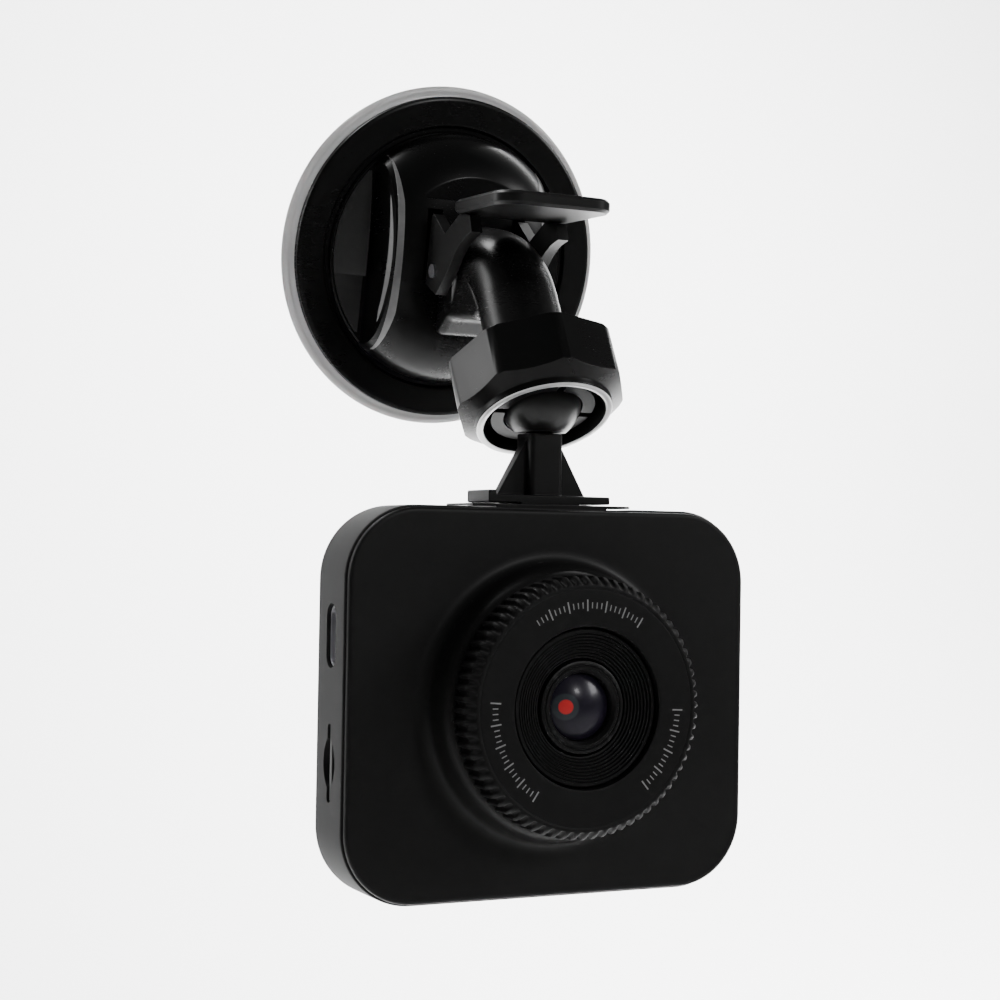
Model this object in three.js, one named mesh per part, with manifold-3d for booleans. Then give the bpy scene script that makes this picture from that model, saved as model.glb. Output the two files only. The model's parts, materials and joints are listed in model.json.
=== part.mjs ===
// A dash camera on its windscreen suction mount, as separate pieces in millimetres, +Z up.
// The origin is the centre of the suction cup's glass face. The camera faces -Y and the glass is behind it.
import * as THREE from "three";
import { mergeVertices } from "three/addons/utils/BufferGeometryUtils.js";
import Module from "manifold-3d";

const wasm = await Module();
wasm.setup();

// ---- Driving sizes ----
const GAP = 0.2; // between pieces that seat on each other
const RUN = 0.3; // between pieces that turn or slide past each other
const EXTRA = 1; // how far a cutter runs past the face it opens

// Suction mount, with heights measured out from the glass
const GLASS_TILT = 12; // degrees that the glass leans back
const CUP_R = 29.1;
const CUP_T = 1.6;
const CUP_SHOWS = 1.7; // the cup's edge that shows round the housing
const RIM_TOP = 3.6;
const RIM_WIDTH = 5.0;
const GROOVE_W = 1.0;
const GROOVE_DEPTH = 0.8;
const SPINE_HALF = 13.5; // half the width of the raised middle of the housing
const SPINE_DRAFT = 1.6; // how far its side walls lean out towards the floor
const PLATEAU_TOP = 14.6;
const PLATEAU_R = 7.4;
const SPINE_CHAMFER = 0.6;
const SPINE_CHAMFER_H = 3.0;
const SPRING_WELL_R = 9.6;
const ROOF_T = 2.0;
const HOUSING_WALL = 1.6;
const STEM_R = 3.3;
const STEM_FOOT_R = 8.4;
const STEM_FOOT_T = 1.4;
const STEM_TRAVEL = 2.5;
const SPRING_WIRE_R = 0.5;
const SPRING_COIL_R = 5.2;
const SPRING_TURNS = 4;
const PIN_R = 1.15;
const PIN_OUT = 17.5; // the lever pin's height from the glass
const PIN_DROP = 1.5; // and how far below the cup's axis it sits
const PIN_FIT = 0.1;
const STEM_PAST_PIN = 3.2;
const CHEEK_INNER = 6.7;
const CHEEK_T = 1.9;
const LEVER_SWING = 60; // degrees
const TAB_HALF = 10.0;
const TAB_START = 8.0; // from the pin, outwards
const TAB_LENGTH = 19.0;
const TAB_RISE = 9.6; // from the pin, upwards, to the tab's underside
const TAB_T = 2.2;
const TAB_EDGE = 0.5;
const TAB_ANGLE = 9.0;
const TAB_CORNER = 4.0;
const TAB_HEEL_CORNER = 2.0;

const ARM_R = 6.4;
const ARM_BEND = 50; // degrees
const BALL_OUT = 44.597; // from the glass to the ball's centre
const BALL_DOWN = 18.597; // and from the cup's axis down to it
const BEND_R = 14;
const ARM_SCREW_X = 3.4;
const ARM_SCREW_Y = -9.0;
const ARM_FOOT_Y = -12.0; // the lower end of the arm's foot
const ARM_SCREW_BITE = 4.0;

const BALL_R = 6.4;
const PAD_T = 0.8;
const PAD_SPREAD = 24; // degrees from the arm's axis to the pad's edge
const JAW_WALL = 0.95;
const JAW_PAST = 2.2; // how far the jaws reach past the ball's middle
const NUT_ACROSS = 25.4;
const NUT_CORNER = 0.87; // how far each corner's chamfer runs along a flat
const NUT_TURNED = 30; // degrees that the nut has been turned from square
const NUT_BACK = -7.5;
const NUT_SHOULDER = 1.0; // where the flats' corners end
const NUT_FRONT = 2.4;
const NUT_LIP_R = 10.8;
const NUT_LIP_OUT = 3.5;
const NUT_LIP_T = 1.2;

// Stud and foot, below the ball's centre
const BALL_FLAT_CUT = 1.4; // how much of the ball its lower flat takes off
const BALL_BORE_R = 2.2;
const STEM_W = 5.7;
const STEM_BEVEL = 0.9;
const GUSSET_DROP = 1.1; // from the ball's flat to the gussets
const GUSSET_HALF = 7.6;
const GUSSET_T = 2.0;
const FOOT_HALF = 10.4;
const FOOT_DEPTH = 8.0;
const FOOT_T = 1.2;
const FOOT_LIP = 0.7;
const FOOT_LIP_W = 1.3;
const RAIL_NECK_W = 10.0;
const RAIL_NECK_H = 1.9;
const RAIL_W = 14.0;
const RAIL_T = 1.5;
const HEAD_TO_BODY = 16.7; // from the ball's centre to the camera's top

// Camera body, with its depth measured from the middle, forwards positive
const BODY_W = 67.6;
const BODY_H = 59.0;
const BODY_D = 12.5;
const BODY_R = 11.2;
const WALL = 1.6;
const BACK_T = 1.5;
const COVER_T = 1.15;
const COVER_INSET = 0.35;
const BACK_BEVEL = 1.3;
const MOUND_R = 22.5;
const MOUND_TOP_R = 19.7;
const MOUND_H = 5.5;
const MOUND_PLATE = 1.4;
const RING_R = 19.5;
const RING_FACE_R = 18.1;
const RING_OUT = 11.1; // the ring's face, forward of the cover
const RING_CHAMFER = 0.9;
const RING_BORE = 11.9;
const SLEEVE_R = 13.2;
const SLEEVE_L = 3.4;
const KNURL_TEETH = 72;
const KNURL_DEPTH = 0.45;
const LUG_ANGLE = 50; // degrees round from the right, downwards
const LUG_HALF_ANGLE = 6;
const LUG_HALF_W = 0.45;
const CLIP_R = 15.2;
const CLIP_T = 0.8;
const BEZEL_STEPS = 4;
const BEZEL_STEP_H = 0.35;
const BEZEL_INNER = 7.3;
const BEZEL_BELOW = 0.85; // the bezel's face, behind the ring's
const BARREL_R = 6.9;
const THREAD_R = 6.0;
const LENS_R = 4.9;
const INNER_LENS_ROOM = 4.9;
const HOLDER_R = 9.2;
const SHOE_HALF = 13.5;
const SHOE_RAISE = 0.5;
const SHOE_FLOOR = 2.0; // under the rail
const SHOE_SIDE = 2.4; // beside the rail
const SHOE_WALL = 0.5; // in front of the rail's end

const SCREEN_SIDE = 10.8; // from the case's side to the screen
const SCREEN_UNDER_SHOE = 1.75;
const SCREEN_LOW = 17.75; // from the case's bottom to the screen
const GLASS_EDGE = 1.0;
const GLASS_T = 0.9;
const PANEL_EDGE = 1.0;
const PANEL_T = 1.5;
const BOARD_T = 0.8;
const BOARD_PAST_KEYS = 2.6;
const BOARD_UNDER_SHOE = 2.7;
const BOSS_R = 2.4;
const BOSS_FROM_SIDE = 6.8;
const BOSS_FROM_END = 6.5;
const BOSS_MEET = 1.0; // the depth where the case's bosses meet the cover's
const SCREW_R = 0.8;
const SCREW_HEAD_R = 1.6;
const SCREW_HEAD_T = 0.9;
const SENSOR_HALF = 10.0;
const SENSOR_BOARD_T = 0.8;
const HOLDER_EAR = 8.4;
const CHIP_W = 9.4;
const CHIP_H = 8.0;
const CHIP_T = 1.1;
const BATTERY_W = 19.6;
const BATTERY_T = 4.0;
const SPEAKER_X = -14;
const SPEAKER_W = 14;
const SPEAKER_H = 8;
const SPEAKER_T = 3;
const MIC_X = 12;
const MIC_R = 2.0;
const LED_R = 1.0;
const LED_FROM_SIDE = 7.3;
const LED_Y = -12;

const USB_Y = 10.0;
const USB_L = 9.0;
const USB_W = 3.2;
const USB_DEEP = 7.3;
const CARD_Y = -8.7;
const CARD_W = 11.0;
const CARD_L = 15.0;
const CARD_T = 1.0;
const NOTCH_H = 8.3;
const NOTCH_W = 4.6;

const KEY_COUNT = 5;
const KEY_PITCH = 9.4;
const KEY_FROM_BOTTOM = 7.9;
const KEY_W = 6.6;
const KEY_H = 3.2;
const KEY_TRAVEL = 0.4;
const KEY_PROUD = 0.3;
const KEY_FLANGE = 0.5;
const SWITCH_H = 0.95;
const KEY_NAMES = ["key_power", "key_menu", "key_up", "key_down", "key_record"];

// ---- Worked-out places ----
const rad = THREE.MathUtils.degToRad;
const FRONT = BODY_D / 2;
const BACK = -BODY_D / 2;
const COVER_BACK = FRONT - COVER_T;
const TOP = BODY_H / 2;
const LEFT = -BODY_W / 2;
const RIGHT = BODY_W / 2;
const MOUND_FACE = FRONT + MOUND_H;
const RING_FACE = FRONT + RING_OUT;
const RING_BACK = MOUND_FACE + RUN;
const HOUSING_R = CUP_R - CUP_SHOWS;
const HOUSING_BACK = CUP_T + GAP;
const STEM_TIP = PIN_OUT + STEM_PAST_PIN;
const WELL_ROOF = PLATEAU_TOP - ROOF_T;
const ARM_REACH = BALL_DOWN / Math.sin(rad(ARM_BEND)); // from the bend's corner to the ball
const ARM_OUT = BALL_OUT - BALL_DOWN / Math.tan(rad(ARM_BEND)); // from the glass to that corner
const JAW_BORE = BALL_R + 0.25;
const POCKET_R = JAW_BORE + PAD_T + RUN;
const JAW_R = POCKET_R + JAW_WALL;
const BALL_FLAT = BALL_R - BALL_FLAT_CUT;
const SHOE_T = RAIL_NECK_H + RAIL_T + RUN + SHOE_FLOOR - SHOE_RAISE - GAP;
const SHOE_HALF_W = RAIL_W / 2 + SHOE_SIDE;
const SHOE_TOP = TOP + SHOE_RAISE;
const RAIL_STOP = FOOT_DEPTH / 2 + RUN;
const SHOE_FRONT = RAIL_STOP + SHOE_WALL;
const FOOT_TOP_Z = -(HEAD_TO_BODY - SHOE_RAISE - GAP - FOOT_T);
const INNER_BACK = BACK + BACK_T;
const LCD_W = BODY_W - 2 * SCREEN_SIDE;
const LCD_H = BODY_H - SHOE_T - SCREEN_UNDER_SHOE - SCREEN_LOW;
const LCD_Y = SCREEN_LOW + LCD_H / 2 - TOP;
const KEY_Y = KEY_FROM_BOTTOM - TOP;
const SWITCH_TOP = INNER_BACK + GAP + KEY_FLANGE + KEY_TRAVEL + 0.1;
const BOARD_BACK = SWITCH_TOP + SWITCH_H;
const BOARD_FACE = BOARD_BACK + BOARD_T;
const BOSS_X = RIGHT - BOSS_FROM_SIDE;
const BOSS_Y = TOP - BOSS_FROM_END;
const BOARD_HALF = BOSS_X - BOSS_R - 1.1;
const BOARD_LOW = KEY_Y - BOARD_PAST_KEYS;
const BOARD_HIGH = TOP - SHOE_T - BOARD_UNDER_SHOE;
const BATTERY_X = RIGHT - WALL - 1.0 - BATTERY_W / 2;
const BATTERY_H = 2 * (BOSS_Y - BOSS_R - 3.6);
const LED_X = RIGHT - LED_FROM_SIDE;
const SENSOR_BACK = BOARD_FACE + SCREW_HEAD_T + 2 * GAP;
const SENSOR_FACE = SENSOR_BACK + SENSOR_BOARD_T;
const HOLDER_BASE = SENSOR_FACE + GAP;
const HOLDER_TOP = MOUND_FACE + 0.4;
const BARREL_BACK = SENSOR_FACE + 2.2;
const BARREL_FACE = RING_FACE - BEZEL_BELOW - (BEZEL_STEPS - 1) * BEZEL_STEP_H;
const FRONT_LENS_BACK = BARREL_FACE - 3.0;
const CARD_X = LEFT + 0.3;

// ---- Helpers ----
// A closed three.js geometry as a manifold-3d solid with its faces pointing out.
function solid(geometry) {
  const bare = geometry.index ? geometry.toNonIndexed() : geometry.clone();
  const shell = new THREE.BufferGeometry();
  shell.setAttribute("position", bare.getAttribute("position"));
  const merged = mergeVertices(shell, 1e-4);
  const vertProperties = new Float32Array(merged.attributes.position.array);
  const triVerts = new Uint32Array(merged.index.array);
  const made = new wasm.Manifold(new wasm.Mesh({ numProp: 3, vertProperties, triVerts }));
  if (made.volume() >= 0) return made;
  for (let i = 0; i < triVerts.length; i += 3) triVerts.subarray(i, i + 3).reverse();
  return new wasm.Manifold(new wasm.Mesh({ numProp: 3, vertProperties, triVerts }));
}

// A manifold-3d solid back as a geometry.
function toGeometry(body) {
  const mesh = body.getMesh();
  const points = new Float32Array(mesh.numVert * 3);
  for (let i = 0; i < mesh.numVert; i++) {
    points.set(mesh.vertProperties.subarray(i * mesh.numProp, i * mesh.numProp + 3), i * 3);
  }
  const geometry = new THREE.BufferGeometry();
  geometry.setAttribute("position", new THREE.BufferAttribute(points, 3));
  geometry.setIndex(new THREE.BufferAttribute(new Uint32Array(mesh.triVerts), 1));
  geometry.computeVertexNormals();
  return geometry;
}

const union = (...bodies) => bodies.reduce((sum, next) => sum.add(next));
const cut = (body, ...tools) => tools.reduce((left, tool) => left.subtract(tool), body);

// A box from its two opposite corners.
function box(x0, x1, y0, y1, z0, z1) {
  const geometry = new THREE.BoxGeometry(x1 - x0, y1 - y0, z1 - z0);
  return solid(geometry.translate((x0 + x1) / 2, (y0 + y1) / 2, (z0 + z1) / 2));
}

// A cylinder along z, from z0 to z1.
function rod(r, z0, z1, x = 0, y = 0, sides = 24) {
  const geometry = new THREE.CylinderGeometry(r, r, z1 - z0, sides);
  return solid(geometry.rotateX(Math.PI / 2).translate(x, y, (z0 + z1) / 2));
}

// A cylinder along x, from x0 to x1.
function crossRod(r, x0, x1, y, z, sides = 16) {
  const geometry = new THREE.CylinderGeometry(r, r, x1 - x0, sides);
  return solid(geometry.rotateZ(Math.PI / 2).translate((x0 + x1) / 2, y, z));
}

// A closed profile of [radius, height] points turned about z.
function turned(profile, sides = 32) {
  const points = profile.map(([r, h]) => new THREE.Vector2(r, h));
  points.push(points[0].clone());
  return solid(new THREE.LatheGeometry(points, sides).rotateX(Math.PI / 2));
}

// A rounded rectangle outline centred on x, y.
function roundedRect(w, h, r, x = 0, y = 0) {
  const shape = new THREE.Shape();
  const a = w / 2;
  const b = h / 2;
  const e = Math.min(r, a, b);
  shape.absarc(x + a - e, y + b - e, e, 0, Math.PI / 2);
  shape.absarc(x - a + e, y + b - e, e, Math.PI / 2, Math.PI);
  shape.absarc(x - a + e, y - b + e, e, Math.PI, 1.5 * Math.PI);
  shape.absarc(x + a - e, y - b + e, e, 1.5 * Math.PI, 2 * Math.PI);
  return shape;
}

// A shape in x, y as a plate from z0 to z1, with its edges bevelled by the given amount.
function plate(shape, z0, z1, bevel = 0, curveSegments = 8) {
  const geometry = new THREE.ExtrudeGeometry(shape, {
    depth: z1 - z0 - 2 * bevel,
    bevelEnabled: bevel > 0,
    bevelThickness: bevel,
    bevelSize: bevel,
    bevelOffset: -bevel,
    bevelSegments: 1,
    curveSegments,
  });
  return solid(geometry.translate(0, 0, z0 + bevel));
}

const pill = (w, h, x, y) => roundedRect(w, h, Math.min(w, h) / 2, x, y);

// A polygon of [outwards, up] points as a plate across x.
function sidePlate(points, x0, x1) {
  const shape = new THREE.Shape(points.map(([out, up]) => new THREE.Vector2(out, up)));
  const geometry = new THREE.ExtrudeGeometry(shape, { depth: x1 - x0, bevelEnabled: false });
  geometry.rotateY(-Math.PI / 2); // the plate's normal to -x, its first axis to z
  return solid(geometry.translate(x1, 0, 0));
}

// Points along an arc about the origin, at angles in degrees from +z towards the radius.
function arcProfile(r, from, to, steps) {
  const points = [];
  for (let i = 0; i <= steps; i++) {
    const a = rad(from + ((to - from) * i) / steps);
    points.push([r * Math.sin(a), r * Math.cos(a)]);
  }
  return points;
}

// ---- Materials ----
const finish = (color, roughness, metalness = 0) => ({ color, roughness, metalness });
const GLOSS_BLACK = finish(0x0a0a0b, 0.18);
const SATIN_BLACK = finish(0x1c1c1d, 0.5);
const CASE_GREY = finish(0x4a4a4b, 0.55);
const SOFT_GREY = finish(0x9a9a9a, 0.45);
const STEEL = finish(0x8a8c8f, 0.3, 1);
const ZINC = finish(0xb4b6b8, 0.35, 1);
const LENS_GLASS = finish(0x241c2c, 0.04);
const SCREEN = finish(0x0c0d10, 0.08);
const BOARD_GREEN = finish(0x14503a, 0.5);
const CHIP = finish(0x151515, 0.6);
const LIGHT_PLASTIC = finish(0xc9d0cf, 0.3);
const BATTERY_WRAP = finish(0x7d8288, 0.35, 0.4);
const FRICTION = finish(0x2a2a2a, 0.8);

function add(group, name, look, body) {
  const mesh = new THREE.Mesh(toGeometry(body), new THREE.MeshStandardMaterial(look));
  mesh.name = name;
  group.add(mesh);
}

// ---- Suction mount: local z runs out from the glass, local y runs up it ----
function suctionCup() {
  return turned([
    [0, 0], [CUP_R - 0.7, 0], [CUP_R, 0.5], [CUP_R, 1.0], [CUP_R - 0.8, CUP_T], [0, CUP_T],
  ], 40);
}

function housingDome(inset) {
  const edge = HOUSING_R - RIM_WIDTH - GROOVE_W - inset;
  const top = PLATEAU_TOP - inset;
  const rise = top - RIM_TOP;
  const curve = [];
  const steps = 5;
  for (let i = 0; i <= steps; i++) {
    const a = rad((90 * i) / steps);
    curve.push([PLATEAU_R + (edge - PLATEAU_R) * Math.cos(a), RIM_TOP + rise * Math.sin(a)]);
  }
  return turned([[0, HOUSING_BACK], [edge, HOUSING_BACK], ...curve, [0, top]], inset ? 24 : 40);
}

function spineSlab(half) {
  const foot = half + SPINE_DRAFT;
  const shape = new THREE.Shape();
  shape.moveTo(-foot, 0);
  shape.lineTo(foot, 0);
  shape.lineTo(half + SPINE_CHAMFER, PLATEAU_TOP - SPINE_CHAMFER_H);
  shape.lineTo(half, PLATEAU_TOP + EXTRA);
  shape.lineTo(-half, PLATEAU_TOP + EXTRA);
  shape.lineTo(-half - SPINE_CHAMFER, PLATEAU_TOP - SPINE_CHAMFER_H);
  const geometry = new THREE.ExtrudeGeometry(shape, { depth: 2 * HOUSING_R, bevelEnabled: false });
  return solid(geometry.rotateX(Math.PI / 2).translate(0, HOUSING_R, 0));
}

// The lever's cheek outline, as [outwards, up] from the pin, and its tip that dips into the housing.
const CHEEK_TIP = [-2.6, 8.9];
const CHEEK = [
  [-2.6, -2.4], CHEEK_TIP, [-1.8, 9.2], [3.5, 6.3], [8.6, 9.9], [12.5, 9.9], [13.9, 7.4],
  [11.4, 6.3], [9.2, 4.6], [7.6, 2.7], [6.3, 0.8], [2.2, -3.7],
];

function leverWell(side) {
  const inner = CHEEK_INNER - RUN;
  const outer = CHEEK_INNER + CHEEK_T + RUN;
  const x0 = side > 0 ? inner : -outer;
  const reach = Math.hypot(...CHEEK_TIP);
  const low = PIN_OUT + STEM_TRAVEL - reach - RUN;
  return box(x0, x0 + outer - inner, -PIN_DROP - 2, -PIN_DROP + 10, low, PLATEAU_TOP + EXTRA);
}

// Where the lever's heel comes to rest on the housing when it is locked.
function heelRest() {
  const swing = rad(LEVER_SWING);
  const heel = TAB_RISE + TAB_T;
  const start = TAB_START - TAB_T * Math.sin(rad(TAB_ANGLE));
  const out = PIN_OUT + STEM_TRAVEL + start * Math.cos(swing) - heel * Math.sin(swing);
  const up = start * Math.sin(swing) + heel * Math.cos(swing) - PIN_DROP;
  const half = TAB_HALF + RUN;
  return box(-half, half, up - 3 * RUN, HOUSING_R, out - RUN, PLATEAU_TOP + EXTRA);
}

function baseHousing() {
  const rimIn = HOUSING_R - RIM_WIDTH;
  const floorR = rimIn - GROOVE_W;
  const grooveTop = RIM_TOP - GROOVE_DEPTH;
  const ring = turned([
    [0, HOUSING_BACK], [HOUSING_R - 0.3, HOUSING_BACK], [HOUSING_R, HOUSING_BACK + 0.4],
    [HOUSING_R, RIM_TOP - 0.5], [HOUSING_R - 0.5, RIM_TOP], [rimIn, RIM_TOP],
    [rimIn, grooveTop], [floorR, grooveTop], [floorR, RIM_TOP], [0, RIM_TOP + 1.2],
  ], 40);
  const spine = housingDome(0).intersect(spineSlab(SPINE_HALF));
  const hollow = housingDome(HOUSING_WALL).intersect(spineSlab(SPINE_HALF - HOUSING_WALL));
  const rib = turned([
    [SPRING_WELL_R, 0], [SPRING_WELL_R + HOUSING_WALL, 0],
    [SPRING_WELL_R + HOUSING_WALL, PLATEAU_TOP], [SPRING_WELL_R, PLATEAU_TOP],
  ]);
  const open = hollow.add(hollow.translate(0, 0, -EXTRA));
  const screwWay = (x) =>
    union(
      rod(SCREW_R + RUN, 0, PLATEAU_TOP + EXTRA, x, ARM_SCREW_Y, 12),
      rod(SCREW_HEAD_R + RUN, 0, WELL_ROOF - 1.2, x, ARM_SCREW_Y, 16),
    );
  return cut(
    ring.add(spine),
    open.subtract(rib.intersect(spine)),
    rod(SPRING_WELL_R, 0, WELL_ROOF, 0, 0, 28),
    rod(STEM_R + RUN, 0, PLATEAU_TOP + EXTRA, 0, 0, 20),
    leverWell(-1),
    leverWell(1),
    heelRest(),
    screwWay(-ARM_SCREW_X),
    screwWay(ARM_SCREW_X),
  );
}

function cupStem() {
  const foot = rod(STEM_FOOT_R, HOUSING_BACK, HOUSING_BACK + STEM_FOOT_T, 0, 0, 28);
  const post = turned([
    [0, HOUSING_BACK], [STEM_R, HOUSING_BACK], [STEM_R, STEM_TIP - 0.8],
    [STEM_R - 0.8, STEM_TIP], [0, STEM_TIP],
  ], 20);
  return cut(foot.add(post), crossRod(PIN_R + PIN_FIT, -STEM_R - 1, STEM_R + 1, -PIN_DROP, PIN_OUT));
}

function returnSpring() {
  const low = HOUSING_BACK + STEM_FOOT_T + GAP + SPRING_WIRE_R;
  const high = WELL_ROOF - GAP - SPRING_WIRE_R;
  class Coil extends THREE.Curve {
    getPoint(t, target = new THREE.Vector3()) {
      const a = 2 * Math.PI * SPRING_TURNS * t;
      return target.set(
        SPRING_COIL_R * Math.cos(a), SPRING_COIL_R * Math.sin(a), low + (high - low) * t,
      );
    }
  }
  const section = new THREE.Shape();
  section.absarc(0, 0, SPRING_WIRE_R, 0, 2 * Math.PI);
  return solid(new THREE.ExtrudeGeometry(section, {
    steps: 10 * SPRING_TURNS,
    curveSegments: 3,
    bevelEnabled: false,
    extrudePath: new Coil(),
  }));
}

function leverPin() {
  const end = CHEEK_INNER + CHEEK_T + 0.25;
  return crossRod(PIN_R, -end, end, -PIN_DROP, PIN_OUT);
}

function lockLever() {
  const outline = CHEEK.map(([out, up]) => [PIN_OUT + out, up - PIN_DROP]);
  const outer = CHEEK_INNER + CHEEK_T;
  const cheeks = union(
    sidePlate(outline, -outer, -CHEEK_INNER),
    sidePlate(outline, CHEEK_INNER, outer),
  );
  const tabShape = roundedRect(2 * TAB_HALF, TAB_LENGTH, TAB_CORNER, 0, TAB_LENGTH / 2);
  const near = roundedRect(2 * TAB_HALF, TAB_LENGTH / 2, TAB_HEEL_CORNER, 0, TAB_LENGTH / 4);
  const tab = union(plate(tabShape, 0, TAB_T, TAB_EDGE, 5), plate(near, 0, TAB_T, TAB_EDGE, 2));
  const placed = tab.rotate([90 - TAB_ANGLE, 0, 0]); // its length points out from the glass
  const seated = placed.translate(0, TAB_RISE - PIN_DROP + TAB_T, PIN_OUT + TAB_START);
  const hole = crossRod(PIN_R + PIN_FIT, -outer - 1, outer + 1, -PIN_DROP, PIN_OUT);
  return cut(cheeks.add(seated), hole);
}

// The arm's centre line, from its seat on the housing to the back of the socket.
function armPath() {
  const corner = new THREE.Vector3(0, 0, ARM_OUT);
  const end = new THREE.Vector3(0, -Math.sin(rad(ARM_BEND)), Math.cos(rad(ARM_BEND)));
  const ease = BEND_R * Math.tan(rad(ARM_BEND / 2));
  const bendStart = new THREE.Vector3(0, 0, ARM_OUT - ease);
  const bendEnd = corner.clone().addScaledVector(end, ease);
  const socket = corner.clone().addScaledVector(end, ARM_REACH + NUT_BACK + 2);
  const path = new THREE.CurvePath();
  path.add(new THREE.LineCurve3(new THREE.Vector3(0, 0, PLATEAU_TOP + GAP), bendStart));
  path.add(new THREE.QuadraticBezierCurve3(bendStart, corner, bendEnd));
  path.add(new THREE.LineCurve3(bendEnd, socket));
  return path;
}

function atBall(body) {
  return body.rotate([ARM_BEND, 0, 0]).translate(0, -BALL_DOWN, BALL_OUT);
}

// The collar that the nut turns on, about the ball's centre with the arm behind.
function collar() {
  const back = NUT_BACK + RUN;
  return turned([
    [0, back], [JAW_R, back], [JAW_R, JAW_PAST - 1.4], [JAW_R - 0.5, JAW_PAST], [0, JAW_PAST],
  ], 24);
}

// The seat for the ball and its pad, with the slots that make the collar into jaws.
function ballSeat() {
  const pocket = turned([[0, -POCKET_R], ...arcProfile(POCKET_R, 180, 90, 4).slice(1), [0, 0]], 20);
  const seat = turned([
    [0, -JAW_BORE], ...arcProfile(JAW_BORE, 180, 70, 5).slice(1), [4, JAW_PAST + EXTRA],
    [0, JAW_PAST + EXTRA],
  ], 20);
  const mouth = turned([
    [0, 0], [JAW_BORE, 0], [Math.sqrt(JAW_BORE ** 2 - JAW_PAST ** 2), JAW_PAST],
    [Math.sqrt(JAW_BORE ** 2 - JAW_PAST ** 2), JAW_PAST + EXTRA], [0, JAW_PAST + EXTRA],
  ], 20);
  const slot = box(-0.6, 0.6, -JAW_R - EXTRA, JAW_R + EXTRA, -4.5, JAW_PAST + EXTRA);
  return union(pocket, seat, mouth, slot, slot.rotate([0, 0, 90]));
}

function mountArm() {
  const section = new THREE.Shape();
  section.absarc(0, 0, ARM_R, 0, 2 * Math.PI);
  const tube = solid(new THREE.ExtrudeGeometry(section, {
    steps: 14,
    curveSegments: 10,
    bevelEnabled: false,
    extrudePath: armPath(),
  }));
  const base = PLATEAU_TOP + GAP;
  const footSide = [
    [base, 4], [base, ARM_FOOT_Y], [base + 2.4, ARM_FOOT_Y], [base + 5.5, ARM_FOOT_Y + 3.2],
    [ARM_OUT + 1, -ARM_R - 1.6], [ARM_OUT + 4, -ARM_R], [base + 5, 4],
  ];
  const foot = sidePlate(footSide, -ARM_R + 0.2, ARM_R - 0.2);
  const pilot = (x) => rod(SCREW_R - 0.1, base - EXTRA, base + ARM_SCREW_BITE, x, ARM_SCREW_Y, 12);
  const bore = rod(STEM_R + RUN, base - EXTRA, STEM_TIP + STEM_TRAVEL + RUN, 0, 0, 20);
  const slide = union(
    crossRod(PIN_R + RUN, -ARM_R - 1, ARM_R + 1, -PIN_DROP, PIN_OUT),
    crossRod(PIN_R + RUN, -ARM_R - 1, ARM_R + 1, -PIN_DROP, PIN_OUT + STEM_TRAVEL),
    box(-ARM_R - 1, ARM_R + 1, -PIN_DROP - PIN_R - RUN, -PIN_DROP + PIN_R + RUN,
      PIN_OUT, PIN_OUT + STEM_TRAVEL),
  );
  const body = union(tube, foot, atBall(collar()));
  return cut(body, atBall(ballSeat()), bore, slide, pilot(-ARM_SCREW_X), pilot(ARM_SCREW_X));
}

function screw(headZ, tipZ, x, y) {
  const up = Math.sign(tipZ - headZ);
  const neck = headZ + up * SCREW_HEAD_T;
  const head = rod(SCREW_HEAD_R, Math.min(headZ, neck), Math.max(headZ, neck), x, y, 14);
  const shaft = rod(SCREW_R - 0.2, Math.min(headZ, tipZ), Math.max(headZ, tipZ), x, y, 8);
  const bitZ = headZ + up * 0.5;
  const slot = (w, h) =>
    box(x - w, x + w, y - h, y + h, Math.min(headZ - up, bitZ), Math.max(headZ - up, bitZ));
  return cut(head.add(shaft), slot(1.0, 0.2));
}

const armScrew = (x) =>
  screw(WELL_ROOF - 1.2 - GAP - SCREW_HEAD_T, PLATEAU_TOP + ARM_SCREW_BITE - 0.6, x, ARM_SCREW_Y);

// Octagonal clamp nut about the ball's centre, with a coned front and a raised lip.
function ballNut() {
  const apothem = NUT_ACROSS / 2;
  const side = apothem * Math.tan(rad(22.5));
  const shape = new THREE.Shape();
  for (let i = 0; i < 8; i++) {
    const a = rad(45 * i - 90);
    for (const along of [-side + NUT_CORNER, side - NUT_CORNER]) {
      const x = apothem * Math.cos(a) - along * Math.sin(a);
      const y = apothem * Math.sin(a) + along * Math.cos(a);
      if (i === 0 && along < 0) shape.moveTo(x, y);
      else shape.lineTo(x, y);
    }
  }
  const prism = plate(shape, NUT_BACK, NUT_LIP_OUT);
  const cone = turned([
    [0, NUT_BACK - 1], [apothem - 0.4, NUT_BACK - 1], [apothem + 1, NUT_BACK + 0.4],
    [apothem + 1, NUT_SHOULDER - 0.4], [NUT_LIP_R, NUT_FRONT], [NUT_LIP_R, NUT_LIP_OUT],
    [0, NUT_LIP_OUT],
  ], 32);
  const clear = JAW_R + RUN;
  const bore = turned([
    [0, NUT_BACK - EXTRA], [clear, NUT_BACK - EXTRA], [clear, JAW_PAST - 2],
    [clear, JAW_PAST - 1.4], [NUT_LIP_R - NUT_LIP_T, NUT_LIP_OUT - 0.4],
    [NUT_LIP_R - NUT_LIP_T, NUT_LIP_OUT + EXTRA], [0, NUT_LIP_OUT + EXTRA],
  ], 32);
  return prism.rotate([0, 0, NUT_TURNED]).intersect(cone).subtract(bore);
}

// Spherical cap between the ball and the arm.
function frictionPad() {
  const inner = JAW_BORE + 0.02;
  const outer = inner + PAD_T;
  const from = 180;
  const to = 180 - PAD_SPREAD;
  return turned([...arcProfile(outer, from, to, 3), ...arcProfile(inner, to, from, 3)], 20);
}

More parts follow.
